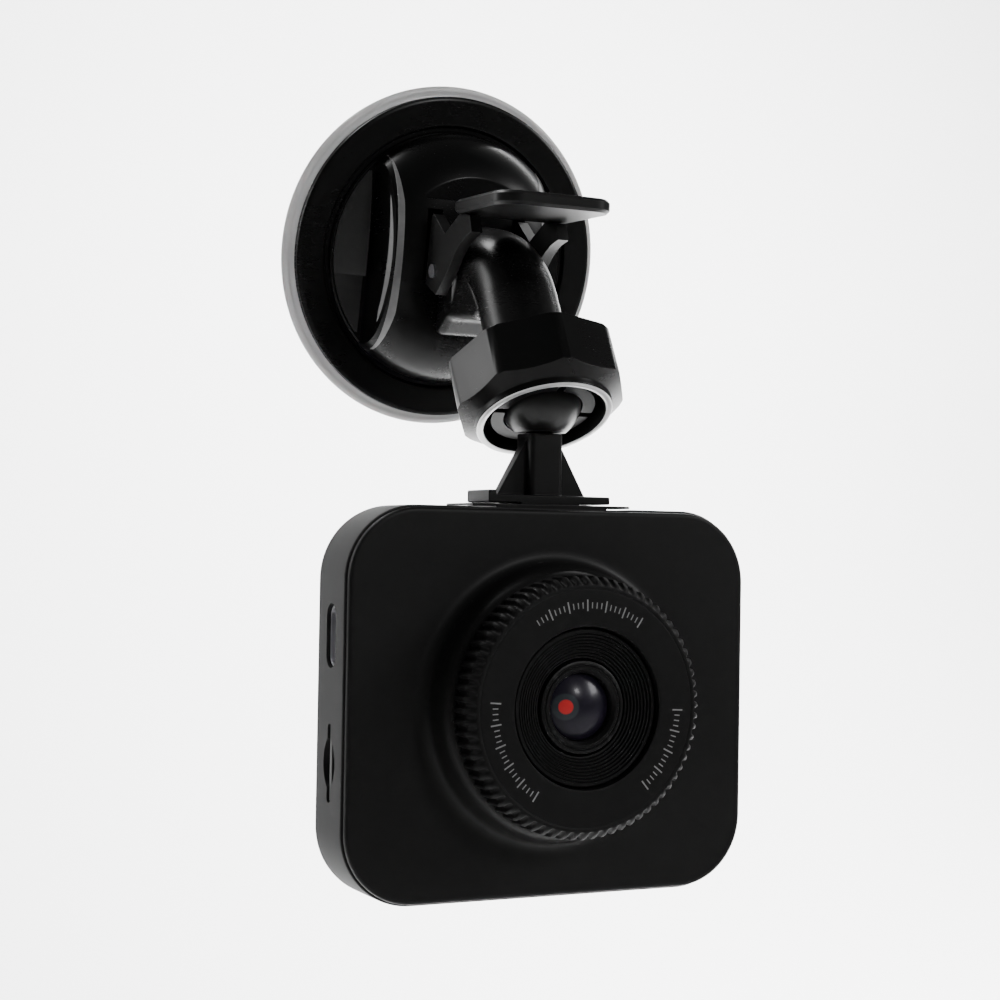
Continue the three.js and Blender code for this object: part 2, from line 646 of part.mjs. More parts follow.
// ---- Ball, stud and foot: local z runs down the stud from the ball's centre ----
function ball() {
  const sphere = turned([[0, -BALL_R], ...arcProfile(BALL_R, 180, 0, 10).slice(1)], 20);
  const below = BALL_R + EXTRA;
  const flat = box(-below, below, -below, below, BALL_FLAT, below);
  return cut(sphere, flat, rod(BALL_BORE_R, 0, below, 0, 0, 16));
}

function footStud() {
  const plateTop = -FOOT_TOP_Z;
  const plateLow = plateTop + FOOT_T;
  const half = STEM_W / 2;
  const stem = plate(roundedRect(STEM_W, STEM_W, STEM_BEVEL), BALL_FLAT + GAP, plateTop + 0.1, 0, 1);
  const tenon = rod(BALL_BORE_R - RUN, 0.6, BALL_FLAT + 1, 0, 0, 16);
  const gussetTop = BALL_FLAT + GUSSET_DROP;
  const gussetShape = new THREE.Shape();
  gussetShape.moveTo(half - 0.1, gussetTop);
  gussetShape.lineTo(GUSSET_HALF, plateTop + 0.1);
  gussetShape.lineTo(-GUSSET_HALF, plateTop + 0.1);
  gussetShape.lineTo(-half + 0.1, gussetTop);
  const gusset = solid(
    new THREE.ExtrudeGeometry(gussetShape, { depth: GUSSET_T, bevelEnabled: false })
      .translate(0, 0, -GUSSET_T / 2)
      .rotateX(Math.PI / 2),
  );
  const deck = box(-FOOT_HALF, FOOT_HALF, -FOOT_DEPTH / 2, FOOT_DEPTH / 2, plateTop, plateLow);
  const lipX = -FOOT_HALF + FOOT_LIP_W;
  const lip = box(-FOOT_HALF, lipX, -FOOT_DEPTH / 2, FOOT_DEPTH / 2, plateTop - FOOT_LIP, plateTop + 0.1);
  const neckHalf = RAIL_NECK_W / 2;
  const railLow = plateLow + RAIL_NECK_H + RAIL_T;
  const railHalf = FOOT_DEPTH / 2;
  const neck = box(-neckHalf, neckHalf, -railHalf, railHalf, plateLow - 0.1, railLow - 0.1);
  const rail = box(-RAIL_W / 2, RAIL_W / 2, -railHalf, railHalf, railLow - RAIL_T, railLow);
  return union(stem, tenon, gusset, deck, lip, neck, rail);
}

// ---- Camera: local x to the right, y up, z forwards, from the middle of the body ----
const bodyShape = (inset) =>
  roundedRect(BODY_W - 2 * inset, BODY_H - 2 * inset, BODY_R - inset);

function corners(make) {
  const places = [[-1, -1], [1, -1], [-1, 1], [1, 1]];
  return places.map(([sx, sy]) => make(sx * BOSS_X, sy * BOSS_Y));
}

function frontCover() {
  const skin = plate(bodyShape(COVER_INSET), COVER_BACK + 0.15, FRONT, COVER_INSET, 6);
  const lipOuter = plate(bodyShape(WALL + GAP), COVER_BACK - 1.5, COVER_BACK + 0.5, 0, 4);
  const lipInner = plate(bodyShape(WALL + GAP + 1.2), COVER_BACK - 2.5, COVER_BACK + 0.15, 0, 4);
  const mound = turned([
    [0, COVER_BACK + 0.4], [MOUND_R + 0.5, COVER_BACK + 0.4], [MOUND_R + 0.5, FRONT - 0.02],
    [MOUND_R, FRONT + 0.25], [MOUND_R - 0.35, FRONT + 1.6], [MOUND_R - 1.0, FRONT + 3.5],
    [MOUND_R - 1.8, MOUND_FACE - 0.6], [MOUND_TOP_R, MOUND_FACE], [0, MOUND_FACE],
  ], 36);
  const hollowR = MOUND_R - 3.4;
  const hollow = turned([
    [0, COVER_BACK - EXTRA], [hollowR + 1, COVER_BACK - EXTRA], [hollowR + 1, FRONT],
    [hollowR, MOUND_FACE - MOUND_PLATE], [0, MOUND_FACE - MOUND_PLATE],
  ], 24);
  const way = rod(SLEEVE_R + RUN, 0, MOUND_FACE + EXTRA, 0, 0, 32);
  const lugShape = new THREE.Shape();
  const lugR = (RING_R + MOUND_R) / 2 - 0.6;
  const from = rad(-LUG_ANGLE - LUG_HALF_ANGLE);
  const to = rad(-LUG_ANGLE + LUG_HALF_ANGLE);
  lugShape.absarc(0, 0, lugR + LUG_HALF_W, from, to, false);
  lugShape.absarc(0, 0, lugR - LUG_HALF_W, to, from, true);
  const lugSlot = plate(lugShape, MOUND_FACE - 1.6, MOUND_FACE + EXTRA, 0, 2);
  const posts = corners((x, y) => rod(BOSS_R, BOSS_MEET, COVER_BACK + 0.4, x, y, 12));
  const pilots = corners((x, y) => rod(SCREW_R, BOSS_MEET - EXTRA, COVER_BACK - 0.6, x, y, 8));
  return cut(
    union(skin, lipOuter.subtract(lipInner), mound, ...posts),
    hollow,
    way,
    lugSlot,
    ...pilots,
    shoeRoom(),
  );
}

// The room that the mount shoe takes out of the case.
function shoeRoom() {
  const half = SHOE_HALF_W + GAP;
  return box(-half, half, TOP - SHOE_T - GAP, TOP + EXTRA, BACK - EXTRA, SHOE_FRONT + GAP);
}

function caseShell() {
  const outer = plate(bodyShape(0), BACK, FRONT + 4, BACK_BEVEL, 6);
  const trim = box(-BODY_W, BODY_W, -BODY_H, BODY_H, COVER_BACK - GAP + 0.15, FRONT + 10);
  const inner = plate(bodyShape(WALL), INNER_BACK, FRONT + 10, 0, 4);
  const window = plate(roundedRect(LCD_W, LCD_H, 1, 0, LCD_Y), BACK - 1, INNER_BACK + 1, 0, 2);
  const recess = plate(
    roundedRect(LCD_W + 2 * (GLASS_EDGE + GAP), LCD_H + 2 * (GLASS_EDGE + GAP), 1.6, 0, LCD_Y),
    BACK - 1,
    BACK + GLASS_T + GAP,
    0,
    2,
  );
  const bosses = corners((x, y) => rod(BOSS_R, INNER_BACK - 0.2, BOSS_MEET - GAP, x, y, 12));
  const screwWays = corners((x, y) =>
    union(
      rod(SCREW_R + 0.2, BACK - 1, 2, x, y, 8),
      rod(SCREW_HEAD_R + RUN, BACK - 1, BACK + SCREW_HEAD_T + 0.3, x, y, 14),
    ),
  );
  const keyHoles = keyPlaces().map((x) =>
    plate(pill(KEY_W + 2 * RUN, KEY_H + 2 * RUN, x, KEY_Y), BACK - 1, INNER_BACK + 1, 0, 3),
  );
  const ledHole = rod(LED_R + GAP, BACK - 1, INNER_BACK + 1, LED_X, LED_Y, 12);
  return cut(
    union(cut(outer, trim, inner), ...bosses),
    window,
    recess,
    ...screwWays,
    ...keyHoles,
    ledHole,
    sideWay(pill(USB_W + 2 * RUN, USB_L + 2 * RUN, 0, USB_Y)),
    sideWay(roundedRect(CARD_T + 2 * RUN, CARD_W + 2 * RUN, 0.5, 0, CARD_Y)),
    fingerNotch(),
    ...speakerHoles(),
    crossUp(0.45, -TOP - 1, -TOP + WALL + 1, MIC_X, 0),
    shoeRoom(),
  );
}

// A hole through the left wall, from an outline in depth and height.
function sideWay(shape) {
  const geometry = new THREE.ExtrudeGeometry(shape, {
    depth: WALL + 2 * EXTRA, bevelEnabled: false, curveSegments: 4,
  });
  return solid(geometry.rotateY(Math.PI / 2).translate(LEFT - EXTRA, 0, 0));
}

// A leaf-shaped dip in the left wall, where a fingertip reaches the card.
function fingerNotch() {
  const half = NOTCH_H / 2;
  const bulge = NOTCH_W / 2;
  const r = (half * half + bulge * bulge) / (2 * bulge);
  const leaf = crossRod(r, LEFT - EXTRA, LEFT + 1.0, CARD_Y, r - bulge, 32).intersect(
    crossRod(r, LEFT - EXTRA, LEFT + 1.0, CARD_Y, bulge - r, 32),
  );
  return leaf;
}

// A cylinder along y.
function crossUp(r, y0, y1, x, z, sides = 8) {
  const geometry = new THREE.CylinderGeometry(r, r, y1 - y0, sides);
  return solid(geometry.translate(x, (y0 + y1) / 2, z));
}

function speakerHoles() {
  const holes = [];
  for (let i = -2; i <= 2; i++) {
    holes.push(crossUp(0.6, -TOP - 1, -TOP + WALL + 1, SPEAKER_X + 2.2 * i, 0));
  }
  return holes;
}

function keyPlaces() {
  return KEY_NAMES.map((_, i) => (i - (KEY_COUNT - 1) / 2) * KEY_PITCH);
}

function key(x) {
  const cap = plate(pill(KEY_W, KEY_H, x, KEY_Y), BACK - KEY_PROUD, INNER_BACK + 0.3, 0, 3);
  const inner = INNER_BACK + GAP;
  const flange = plate(pill(KEY_W + 1.6, KEY_H + 1.6, x, KEY_Y), inner, inner + KEY_FLANGE, 0, 2);
  return cap.add(flange);
}

function tactSwitch(x) {
  const base = box(x - 1.6, x + 1.6, KEY_Y - 1.5, KEY_Y + 1.5, SWITCH_TOP + 0.25, BOARD_BACK - 0.05);
  return base.add(rod(0.8, SWITCH_TOP, BOARD_BACK - 0.3, x, KEY_Y, 8));
}

function mountShoe() {
  const block = box(-SHOE_HALF_W, SHOE_HALF_W, TOP - SHOE_T, SHOE_TOP, BACK, SHOE_FRONT);
  const pad = box(-SHOE_HALF, SHOE_HALF, TOP + 0.12, SHOE_TOP, BACK + BACK_BEVEL, SHOE_FRONT);
  const railTop = SHOE_TOP + GAP - RAIL_NECK_H;
  const railLow = railTop - RAIL_T;
  const neckWay = box(
    -RAIL_NECK_W / 2 - RUN, RAIL_NECK_W / 2 + RUN, railLow - RUN, SHOE_TOP + EXTRA, BACK - EXTRA, RAIL_STOP,
  );
  const railWay = box(
    -RAIL_W / 2 - RUN, RAIL_W / 2 + RUN, railLow - RUN, railTop + RUN, BACK - EXTRA, RAIL_STOP,
  );
  return cut(block.add(pad), neckWay, railWay);
}

function lcdWindow() {
  const shape = roundedRect(LCD_W + 2 * GLASS_EDGE, LCD_H + 2 * GLASS_EDGE, 1.5, 0, LCD_Y);
  return plate(shape, BACK + 0.05, BACK + GLASS_T, 0, 3);
}

function lcdPanel() {
  const x = LCD_W / 2 + PANEL_EDGE;
  const y = LCD_H / 2 + PANEL_EDGE;
  const back = INNER_BACK + GAP;
  return box(-x, x, LCD_Y - y, LCD_Y + y, back, back + PANEL_T);
}

function mainBoard() {
  const middle = (BOARD_HIGH + BOARD_LOW) / 2;
  const shape = roundedRect(2 * BOARD_HALF, BOARD_HIGH - BOARD_LOW, 1, 0, middle);
  const sheet = plate(shape, BOARD_BACK, BOARD_BACK + BOARD_T, 0, 2);
  const hole = (x, y) => rod(1, BOARD_BACK - 1, BOARD_BACK + 2, x, y, 10);
  const holeX = BOARD_HALF - 2.5;
  return cut(sheet, hole(-holeX, BOARD_HIGH - 2.5), hole(holeX, BOARD_HIGH - 2.5));
}

function mainProcessor() {
  const right = -SENSOR_HALF - 0.6;
  const low = SENSOR_HALF + 2;
  return box(right - CHIP_W, right, low, low + CHIP_H, BOARD_FACE + 0.1, BOARD_FACE + 0.1 + CHIP_T);
}

function sensorBoard() {
  const half = SENSOR_HALF;
  const sheet = box(-half, half, -half, half, SENSOR_BACK, SENSOR_FACE);
  const hole = (x, y) => rod(SCREW_R, SENSOR_BACK - 1, SENSOR_FACE + 1, x, y, 10);
  return cut(sheet, hole(-HOLDER_EAR, 0), hole(HOLDER_EAR, 0));
}

function lensHolder() {
  const half = SENSOR_HALF;
  const base = box(-half, half, -half, half, HOLDER_BASE, HOLDER_BASE + 2.2);
  const tube = rod(HOLDER_R, HOLDER_BASE + 1, HOLDER_TOP, 0, 0, 32);
  const thread = rod(THREAD_R + GAP, HOLDER_BASE - 1, HOLDER_TOP + 1, 0, 0, 24);
  const relief = rod(BARREL_R + GAP, HOLDER_TOP - 3.4, HOLDER_TOP + 1, 0, 0, 28);
  const pilot = (x) => rod(SCREW_R - 0.1, HOLDER_BASE - 1, HOLDER_BASE + 3.6, x, 0, 10);
  return cut(base.add(tube), thread, relief, pilot(-HOLDER_EAR), pilot(HOLDER_EAR));
}

function imageSensor() {
  return box(-3.6, 3.6, -3.6, 3.6, SENSOR_FACE + 0.1, SENSOR_FACE + 0.9);
}

function irFilter() {
  return plate(roundedRect(7.4, 7.4, 0.4), SENSOR_FACE + 1.2, SENSOR_FACE + 1.6, 0, 2);
}

function lensBarrel() {
  const neck = HOLDER_TOP - 3.2;
  const blank = turned([
    [0, BARREL_BACK], [THREAD_R, BARREL_BACK], [THREAD_R, neck], [BARREL_R, neck + GAP],
    [BARREL_R, BARREL_FACE - 0.3], [BARREL_R - 0.3, BARREL_FACE], [0, BARREL_FACE],
  ], 24);
  const shelf = FRONT_LENS_BACK - 0.6 - INNER_LENS_ROOM;
  const seat = turned([
    [0, BARREL_BACK - 1], [3.4, BARREL_BACK - 1], [3.4, BARREL_BACK + 1.6], [2.6, BARREL_BACK + 1.6],
    [2.6, shelf], [4.2, shelf], [4.2, FRONT_LENS_BACK - 0.6], [LENS_R + GAP, FRONT_LENS_BACK - 0.6],
    [LENS_R + GAP, BARREL_FACE - 0.6], [LENS_R + 0.7, BARREL_FACE + 0.4], [0, BARREL_FACE + 0.4],
  ], 20);
  return cut(blank, seat);
}

// A round lens with flat or bulging faces, from its edge radius and the two sags.
function lens(r, back, front, backSag, frontSag) {
  const profile = [[0, back - backSag]];
  const steps = 3;
  for (let i = 1; i <= steps; i++) {
    const u = i / steps;
    profile.push([r * u, back - backSag * (1 - u * u)]);
  }
  for (let i = steps; i >= 0; i--) {
    const u = i / steps;
    profile.push([r * u, front + frontSag * (1 - u * u)]);
  }
  return turned(profile, 16);
}

const frontLens = () => lens(LENS_R, FRONT_LENS_BACK, FRONT_LENS_BACK + 1.6, 0.2, 1.5);
const innerLens = () => lens(4.0, FRONT_LENS_BACK - 4.45, FRONT_LENS_BACK - 3.25, 0.5, 0.3);
const rearLens = () => lens(3.2, BARREL_BACK + 0.3, BARREL_BACK + 1.1, 0.1, 0.2);

// Stepped ring round the barrel: each step stands a little further back towards the lens.
function lensBezel() {
  const outer = RING_BORE - RUN;
  const face = RING_FACE - BEZEL_BELOW;
  const back = HOLDER_TOP + GAP;
  const profile = [[BEZEL_INNER, back], [outer, back], [outer, face]];
  const pitch = (outer - BEZEL_INNER) / (BEZEL_STEPS + 0.5);
  for (let i = 0; i < BEZEL_STEPS; i++) {
    const r = outer - (i + 0.8) * pitch;
    profile.push([r, face - i * BEZEL_STEP_H], [r - 0.15, face - (i + 1) * BEZEL_STEP_H]);
  }
  profile.push([BEZEL_INNER, face - BEZEL_STEPS * BEZEL_STEP_H]);
  return turned(profile, 32);
}

function knurledShape() {
  const points = [];
  for (let i = 0; i < 2 * KNURL_TEETH; i++) {
    const a = (Math.PI * i) / KNURL_TEETH;
    const r = i % 2 ? RING_R : RING_R - KNURL_DEPTH;
    points.push(new THREE.Vector2(r * Math.cos(a), r * Math.sin(a)));
  }
  return new THREE.Shape(points);
}

function focusRing() {
  const knurl = plate(knurledShape(), RING_BACK, RING_FACE);
  const nose = turned([
    [0, RING_BACK - 1], [RING_R + 1, RING_BACK - 1], [RING_R + 1, RING_FACE - RING_CHAMFER - 0.64],
    [RING_FACE_R, RING_FACE], [0, RING_FACE],
  ], 45);
  const sleeve = rod(SLEEVE_R, RING_BACK - SLEEVE_L, RING_BACK + 0.5, 0, 0, 36);
  const bore = rod(RING_BORE, RING_BACK - SLEEVE_L - 1, RING_FACE + 1, 0, 0, 40);
  return cut(knurl.intersect(nose).add(sleeve), bore);
}

function ringClip() {
  const z = RING_BACK - SLEEVE_L;
  const blank = rod(CLIP_R, z, z + CLIP_T, 0, 0, 28);
  const slot = box(-1, 1, -CLIP_R - 1, 0, z - 1, z + 2);
  return cut(blank, rod(SLEEVE_R + 0.25, z - 1, z + 2, 0, 0, 28), slot);
}

function battery() {
  const shape = roundedRect(BATTERY_W, BATTERY_H, 1.5, BATTERY_X, 0);
  return plate(shape, BOARD_FACE + 0.6, BOARD_FACE + 0.6 + BATTERY_T, 0, 3);
}

function speaker() {
  const half = SPEAKER_W / 2;
  const low = -TOP + WALL + 0.3;
  const back = BOARD_FACE + 0.3;
  return box(SPEAKER_X - half, SPEAKER_X + half, low, low + SPEAKER_H, back, back + SPEAKER_T);
}

function microphone() {
  return crossUp(MIC_R, -TOP + WALL + 0.3, -TOP + WALL + 1.8, MIC_X, 0.4, 20);
}

function usbSocket() {
  const x0 = LEFT + 0.5;
  const shell = (shape, from, to) => {
    const geometry = new THREE.ExtrudeGeometry(shape, {
      depth: to - from, bevelEnabled: false, curveSegments: 4,
    });
    return solid(geometry.rotateY(Math.PI / 2).translate(from, 0, 0));
  };
  const outer = shell(pill(USB_W, USB_L, 0, USB_Y), x0, x0 + USB_DEEP);
  const inner = shell(pill(USB_W - 0.7, USB_L - 0.7, 0, USB_Y), x0 - 1, x0 + USB_DEEP - 0.6);
  const tongue = box(x0 + 1.2, x0 + USB_DEEP, USB_Y - 3.3, USB_Y + 3.3, -0.35, 0.35);
  return cut(outer, inner).add(tongue);
}

function cardSocket() {
  const x0 = LEFT + WALL + GAP;
  const y = CARD_W / 2 + RUN;
  const z = CARD_T / 2 + RUN;
  const wall = 0.4;
  const end = CARD_X + CARD_L + 1.0;
  const outer = box(x0, end + wall, CARD_Y - y - wall, CARD_Y + y + wall, -z - wall, z + wall);
  const inner = box(x0 - 1, end, CARD_Y - y, CARD_Y + y, -z, z);
  return cut(outer, inner);
}

function memoryCard() {
  const y = CARD_W / 2;
  const blank = box(CARD_X, CARD_X + CARD_L, CARD_Y - y, CARD_Y + y, -CARD_T / 2, CARD_T / 2);
  const nick = box(CARD_X + 7, CARD_X + CARD_L + 1, CARD_Y + y - 1.3, CARD_Y + y + 1, -2, 2);
  return cut(blank, nick);
}

function lightPipe() {
  return rod(LED_R, BACK - 0.05, BOARD_BACK - 0.4, LED_X, LED_Y, 14);
}

const holderScrew = (x) => screw(SENSOR_BACK - SCREW_HEAD_T - 0.1, HOLDER_BASE + 3.2, x, 0);
const caseScrew = (x, y) => screw(BACK + 0.15, COVER_BACK - 1.5, x, y);

// ---- Assembly ----
const dashCamera = new THREE.Group();

const mount = new THREE.Group();
mount.rotation.x = Math.PI / 2 + rad(GLASS_TILT);
dashCamera.add(mount);
add(mount, "suction_cup", SOFT_GREY, suctionCup());
add(mount, "base_housing", GLOSS_BLACK, baseHousing());
add(mount, "cup_stem", ZINC, cupStem());
add(mount, "return_spring", STEEL, returnSpring());
add(mount, "lever_pin", STEEL, leverPin());
add(mount, "lock_lever", SATIN_BLACK, lockLever());
add(mount, "mount_arm", GLOSS_BLACK, mountArm());
add(mount, "arm_screw_1", STEEL, armScrew(-ARM_SCREW_X));
add(mount, "arm_screw_2", STEEL, armScrew(ARM_SCREW_X));

const socket = new THREE.Group();
socket.rotation.x = rad(ARM_BEND);
socket.position.y = -BALL_DOWN;
socket.position.z = BALL_OUT;
mount.add(socket);
add(socket, "ball_nut", GLOSS_BLACK, ballNut());
add(socket, "friction_pad", FRICTION, frictionPad());

const ballCentre = socket.position.clone().applyEuler(mount.rotation);
const hanging = new THREE.Group();
hanging.position.copy(ballCentre);
hanging.rotation.x = Math.PI;
dashCamera.add(hanging);
add(hanging, "ball", GLOSS_BLACK, ball());
add(hanging, "foot_stud", SATIN_BLACK, footStud());

const camera = new THREE.Group();
camera.rotation.x = Math.PI / 2;
camera.position.set(0, ballCentre.y, ballCentre.z - HEAD_TO_BODY - TOP);
dashCamera.add(camera);
add(camera, "front_cover", SATIN_BLACK, frontCover());
add(camera, "case_shell", CASE_GREY, caseShell());
add(camera, "mount_shoe", SATIN_BLACK, mountShoe());
add(camera, "focus_ring", SATIN_BLACK, focusRing());
add(camera, "ring_clip", STEEL, ringClip());
add(camera, "lens_bezel", SATIN_BLACK, lensBezel());
add(camera, "lens_barrel", SATIN_BLACK, lensBarrel());
add(camera, "front_lens", LENS_GLASS, frontLens());
add(camera, "inner_lens", LENS_GLASS, innerLens());
add(camera, "rear_lens", LENS_GLASS, rearLens());
add(camera, "lens_holder", CHIP, lensHolder());
add(camera, "holder_screw_1", STEEL, holderScrew(-HOLDER_EAR));
add(camera, "holder_screw_2", STEEL, holderScrew(HOLDER_EAR));
add(camera, "ir_filter", LENS_GLASS, irFilter());
add(camera, "image_sensor", CHIP, imageSensor());
add(camera, "sensor_board", BOARD_GREEN, sensorBoard());
add(camera, "main_board", BOARD_GREEN, mainBoard());
add(camera, "main_processor", CHIP, mainProcessor());
add(camera, "battery", BATTERY_WRAP, battery());
add(camera, "speaker", CHIP, speaker());
add(camera, "microphone", ZINC, microphone());
add(camera, "usb_socket", STEEL, usbSocket());
add(camera, "card_socket", STEEL, cardSocket());
add(camera, "memory_card", CHIP, memoryCard());
add(camera, "lcd_window", SCREEN, lcdWindow());
add(camera, "lcd_panel", SCREEN, lcdPanel());
add(camera, "led_light_pipe", LIGHT_PLASTIC, lightPipe());
keyPlaces().forEach((x, i) => {
  add(camera, KEY_NAMES[i], SATIN_BLACK, key(x));
  add(camera, KEY_NAMES[i].replace("key", "switch"), CHIP, tactSwitch(x));
});
corners((x, y) => [x, y]).forEach(([x, y], i) => {
  add(camera, "case_screw_" + (i + 1), STEEL, caseScrew(x, y));
});

export default dashCamera;
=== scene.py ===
"""Visible shapes and finishes of a dash camera on its suction mount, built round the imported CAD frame."""

import json
from math import acos, asin, cos, degrees, hypot, pi, radians, sin, sqrt, tan

import bmesh
import bpy
from bpy.props import FloatProperty, FloatVectorProperty, IntProperty, PointerProperty
from mathutils import Matrix, Vector


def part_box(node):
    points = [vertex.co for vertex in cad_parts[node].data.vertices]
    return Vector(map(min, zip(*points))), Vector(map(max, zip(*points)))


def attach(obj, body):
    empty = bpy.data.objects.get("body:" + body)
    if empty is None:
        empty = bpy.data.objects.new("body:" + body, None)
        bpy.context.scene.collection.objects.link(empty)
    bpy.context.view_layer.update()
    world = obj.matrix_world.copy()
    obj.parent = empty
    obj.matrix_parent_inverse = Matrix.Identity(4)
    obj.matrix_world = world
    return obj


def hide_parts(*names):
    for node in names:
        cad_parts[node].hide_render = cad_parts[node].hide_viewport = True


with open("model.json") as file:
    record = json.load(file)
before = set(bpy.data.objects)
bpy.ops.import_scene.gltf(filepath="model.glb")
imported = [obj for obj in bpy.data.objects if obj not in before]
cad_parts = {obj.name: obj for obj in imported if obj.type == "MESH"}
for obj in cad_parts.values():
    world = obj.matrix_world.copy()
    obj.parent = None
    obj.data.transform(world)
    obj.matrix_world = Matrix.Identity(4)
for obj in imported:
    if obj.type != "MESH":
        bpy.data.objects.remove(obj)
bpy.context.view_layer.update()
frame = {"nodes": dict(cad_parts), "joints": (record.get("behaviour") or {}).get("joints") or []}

bl_info = {
    "name": "Dash camera on a suction mount",
    "version": (1, 0, 0),
    "blender": (4, 5, 0),
    "location": "View3D > Sidebar > Dash camera",
    "description": "Builds the visible pieces and finishes of a dash camera round its CAD frame",
    "category": "Object",
}

MM = 0.001


# ---- Places, from the frame ----
def joint(name):
    return next(j for j in frame["joints"] if j["name"] == name)


def place(origin, out):
    """The frame of a piece in millimetres: x across, z along out."""
    z = Vector(out).normalized()
    x = Vector((1, 0, 0))
    y = z.cross(x)
    turn = Matrix((x, y, z)).transposed().to_4x4()
    return Matrix.Translation(Vector(origin)) @ turn @ Matrix.Scale(MM, 4)


def across(node, axis=0):
    """A CAD node's size along one axis of the row frame, in millimetres."""
    low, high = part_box(node)
    return (high[axis] - low[axis]) / MM


BALL = Vector(joint("camera_tilt")["pos_m"])
LENS = Vector(joint("focus_turn")["pos_m"])
ON_GLASS = place((0, 0, 0), joint("stem_slide")["axis"])
AT_BALL = place(BALL, joint("nut_turn")["axis"])
HANGING = place(BALL, (0, 0, -1))
ON_BODY = place(LENS, joint("focus_turn")["axis"])

CUP_R = across("suction_cup") / 2
HOUSING_R = across("base_housing") / 2
BODY_W = across("case_shell")
BODY_H = (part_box("case_shell")[1].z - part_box("case_shell")[0].z) / MM
BACK = (LENS.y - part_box("case_shell")[1].y) / MM
RING_FACE = (LENS.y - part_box("focus_ring")[0].y) / MM
RING_R = across("focus_ring") / 2
BALL_R = across("ball") / 2


# ---- Sizes and colours that can be changed ----
def length(name, millimetres, words):
    return FloatProperty(
        name=name, description=words, default=millimetres * MM, min=0, unit="LENGTH", subtype="DISTANCE"
    )


def colour(name, grey, words):
    return FloatVectorProperty(
        name=name, description=words, default=(grey, grey, grey), size=3, min=0, max=1, subtype="COLOR"
    )


class MountSizes(bpy.types.PropertyGroup):
    rim_top: length("Rim height", 3.6, "Top of the housing's rim above the glass")
    rim_width: length("Rim width", 5.0, "Width of the housing's flat rim")
    plateau: length("Spine height", 14.6, "Top of the housing's raised middle above the glass")
    spine_half: length("Spine half width", 13.5, "Half the width of the raised middle")
    arm_radius: length("Arm radius", 6.4, "Radius of the cranked arm")
    nut_apothem: length("Nut half width", 12.7, "Half the distance across the nut's flats")
    nut_corner: length("Nut corner", 0.87, "Length of each corner chamfer along a flat")
    lip_radius: length("Lip radius", 10.8, "Outer radius of the nut's lip")


class CameraSizes(bpy.types.PropertyGroup):
    corner: length("Corner radius", 11.2, "Radius of the body's corners")
    mound_radius: length("Mound radius", 22.5, "Radius of the round mound on the front")
    mound_height: length("Mound height", 5.5, "How far the mound stands out of the front")
    ring_face: length("Ring face radius", 18.1, "Radius of the ring's flat face")
    ring_bore: length("Ring bore", 11.9, "Inner radius of the ring")
    teeth: IntProperty(name="Knurl teeth", description="Ribs round the ring", default=72, min=24, max=120)


class Finishes(bpy.types.PropertyGroup):
    front: colour("Front plate", 0.0085, "Satin black of the front plate and ring")
    side: colour("Side band", 0.030, "Dark grey of the case")
    gloss: colour("Gloss black", 0.0035, "Polished black of the mount")
    cup: colour("Suction cup", 0.42, "Soft grey of the suction cup")
    print: colour("Ring marks", 0.16, "Grey of the marks on the ring")
    # Colour of the painted glint on the lens glass: a painted reflection of the filter behind it.
    red: FloatVectorProperty(
        name="Painted lens glint", description="Red glint of the filter behind the lens",
        default=(0.62, 0.035, 0.035), size=3, min=0, max=1, subtype="COLOR",
    )


def mm(group, name):
    return getattr(group, name) / MM


# ---- Mesh helpers, in millimetres ----
def loft(loops, closed=False):
    """A closed mesh through loops of equal length; a loop of one point is a tip."""
    bm = bmesh.new()
    rows = [[bm.verts.new(p) for p in loop] for loop in loops]
    pairs = list(zip(rows, rows[1:]))
    if closed:
        pairs.append((rows[-1], rows[0]))
    for a, b in pairs:
        count = max(len(a), len(b))
        for i in range(count):
            k = (i + 1) % count
            ring = [a[i % len(a)], a[k % len(a)], b[k % len(b)], b[i % len(b)]]
            bm.faces.new(list(dict.fromkeys(ring)))
    if not closed:
        for row in (rows[0], rows[-1]):
            if len(row) > 2:
                bm.faces.new(row)
    bmesh.ops.recalc_face_normals(bm, faces=bm.faces)
    return bm


def circle(r, z, count):
    if r < 1e-6:
        return [(0, 0, z)]
    return [(r * cos(2 * pi * i / count), r * sin(2 * pi * i / count), z) for i in range(count)]


def turned(profile, count=128, closed=False):
    """[radius, height] points turned about z. A profile off the axis is closed on itself."""
    return loft([circle(r, z, count) for r, z in profile], closed)


def rounded_loop(w, h, r, z, count, x=0, y=0):
    """A rounded rectangle as points seen at equal angles from its middle."""
    a, b = w / 2, h / 2
    points = []
    for i in range(count):
        t = 2 * pi * (i + 0.5) / count
        c, s = cos(t), sin(t)
        reach = min(a / max(abs(c), 1e-9), b / max(abs(s), 1e-9))
        if abs(reach * c) > a - r and abs(reach * s) > b - r:
            cx, cy = (a - r) * (1 if c > 0 else -1), (b - r) * (1 if s > 0 else -1)
            along = cx * c + cy * s
            reach = along + sqrt(max(along * along - cx * cx - cy * cy + r * r, 0))
        points.append((x + reach * c, y + reach * s, z))
    return points


def outline_prism(points, z0, z1):
    return loft([[(x, y, z0) for x, y in points], [(x, y, z1) for x, y in points]])


def box(x0, x1, y0, y1, z0, z1):
    return outline_prism([(x0, y0), (x1, y0), (x1, y1), (x0, y1)], z0, z1)


def arc(r, start, end, steps, x=0, y=0):
    """Points on an arc, from one angle to another in degrees."""
    turn = [radians(start + (end - start) * i / steps) for i in range(steps + 1)]
    return [(x + r * cos(t), y + r * sin(t)) for t in turn]


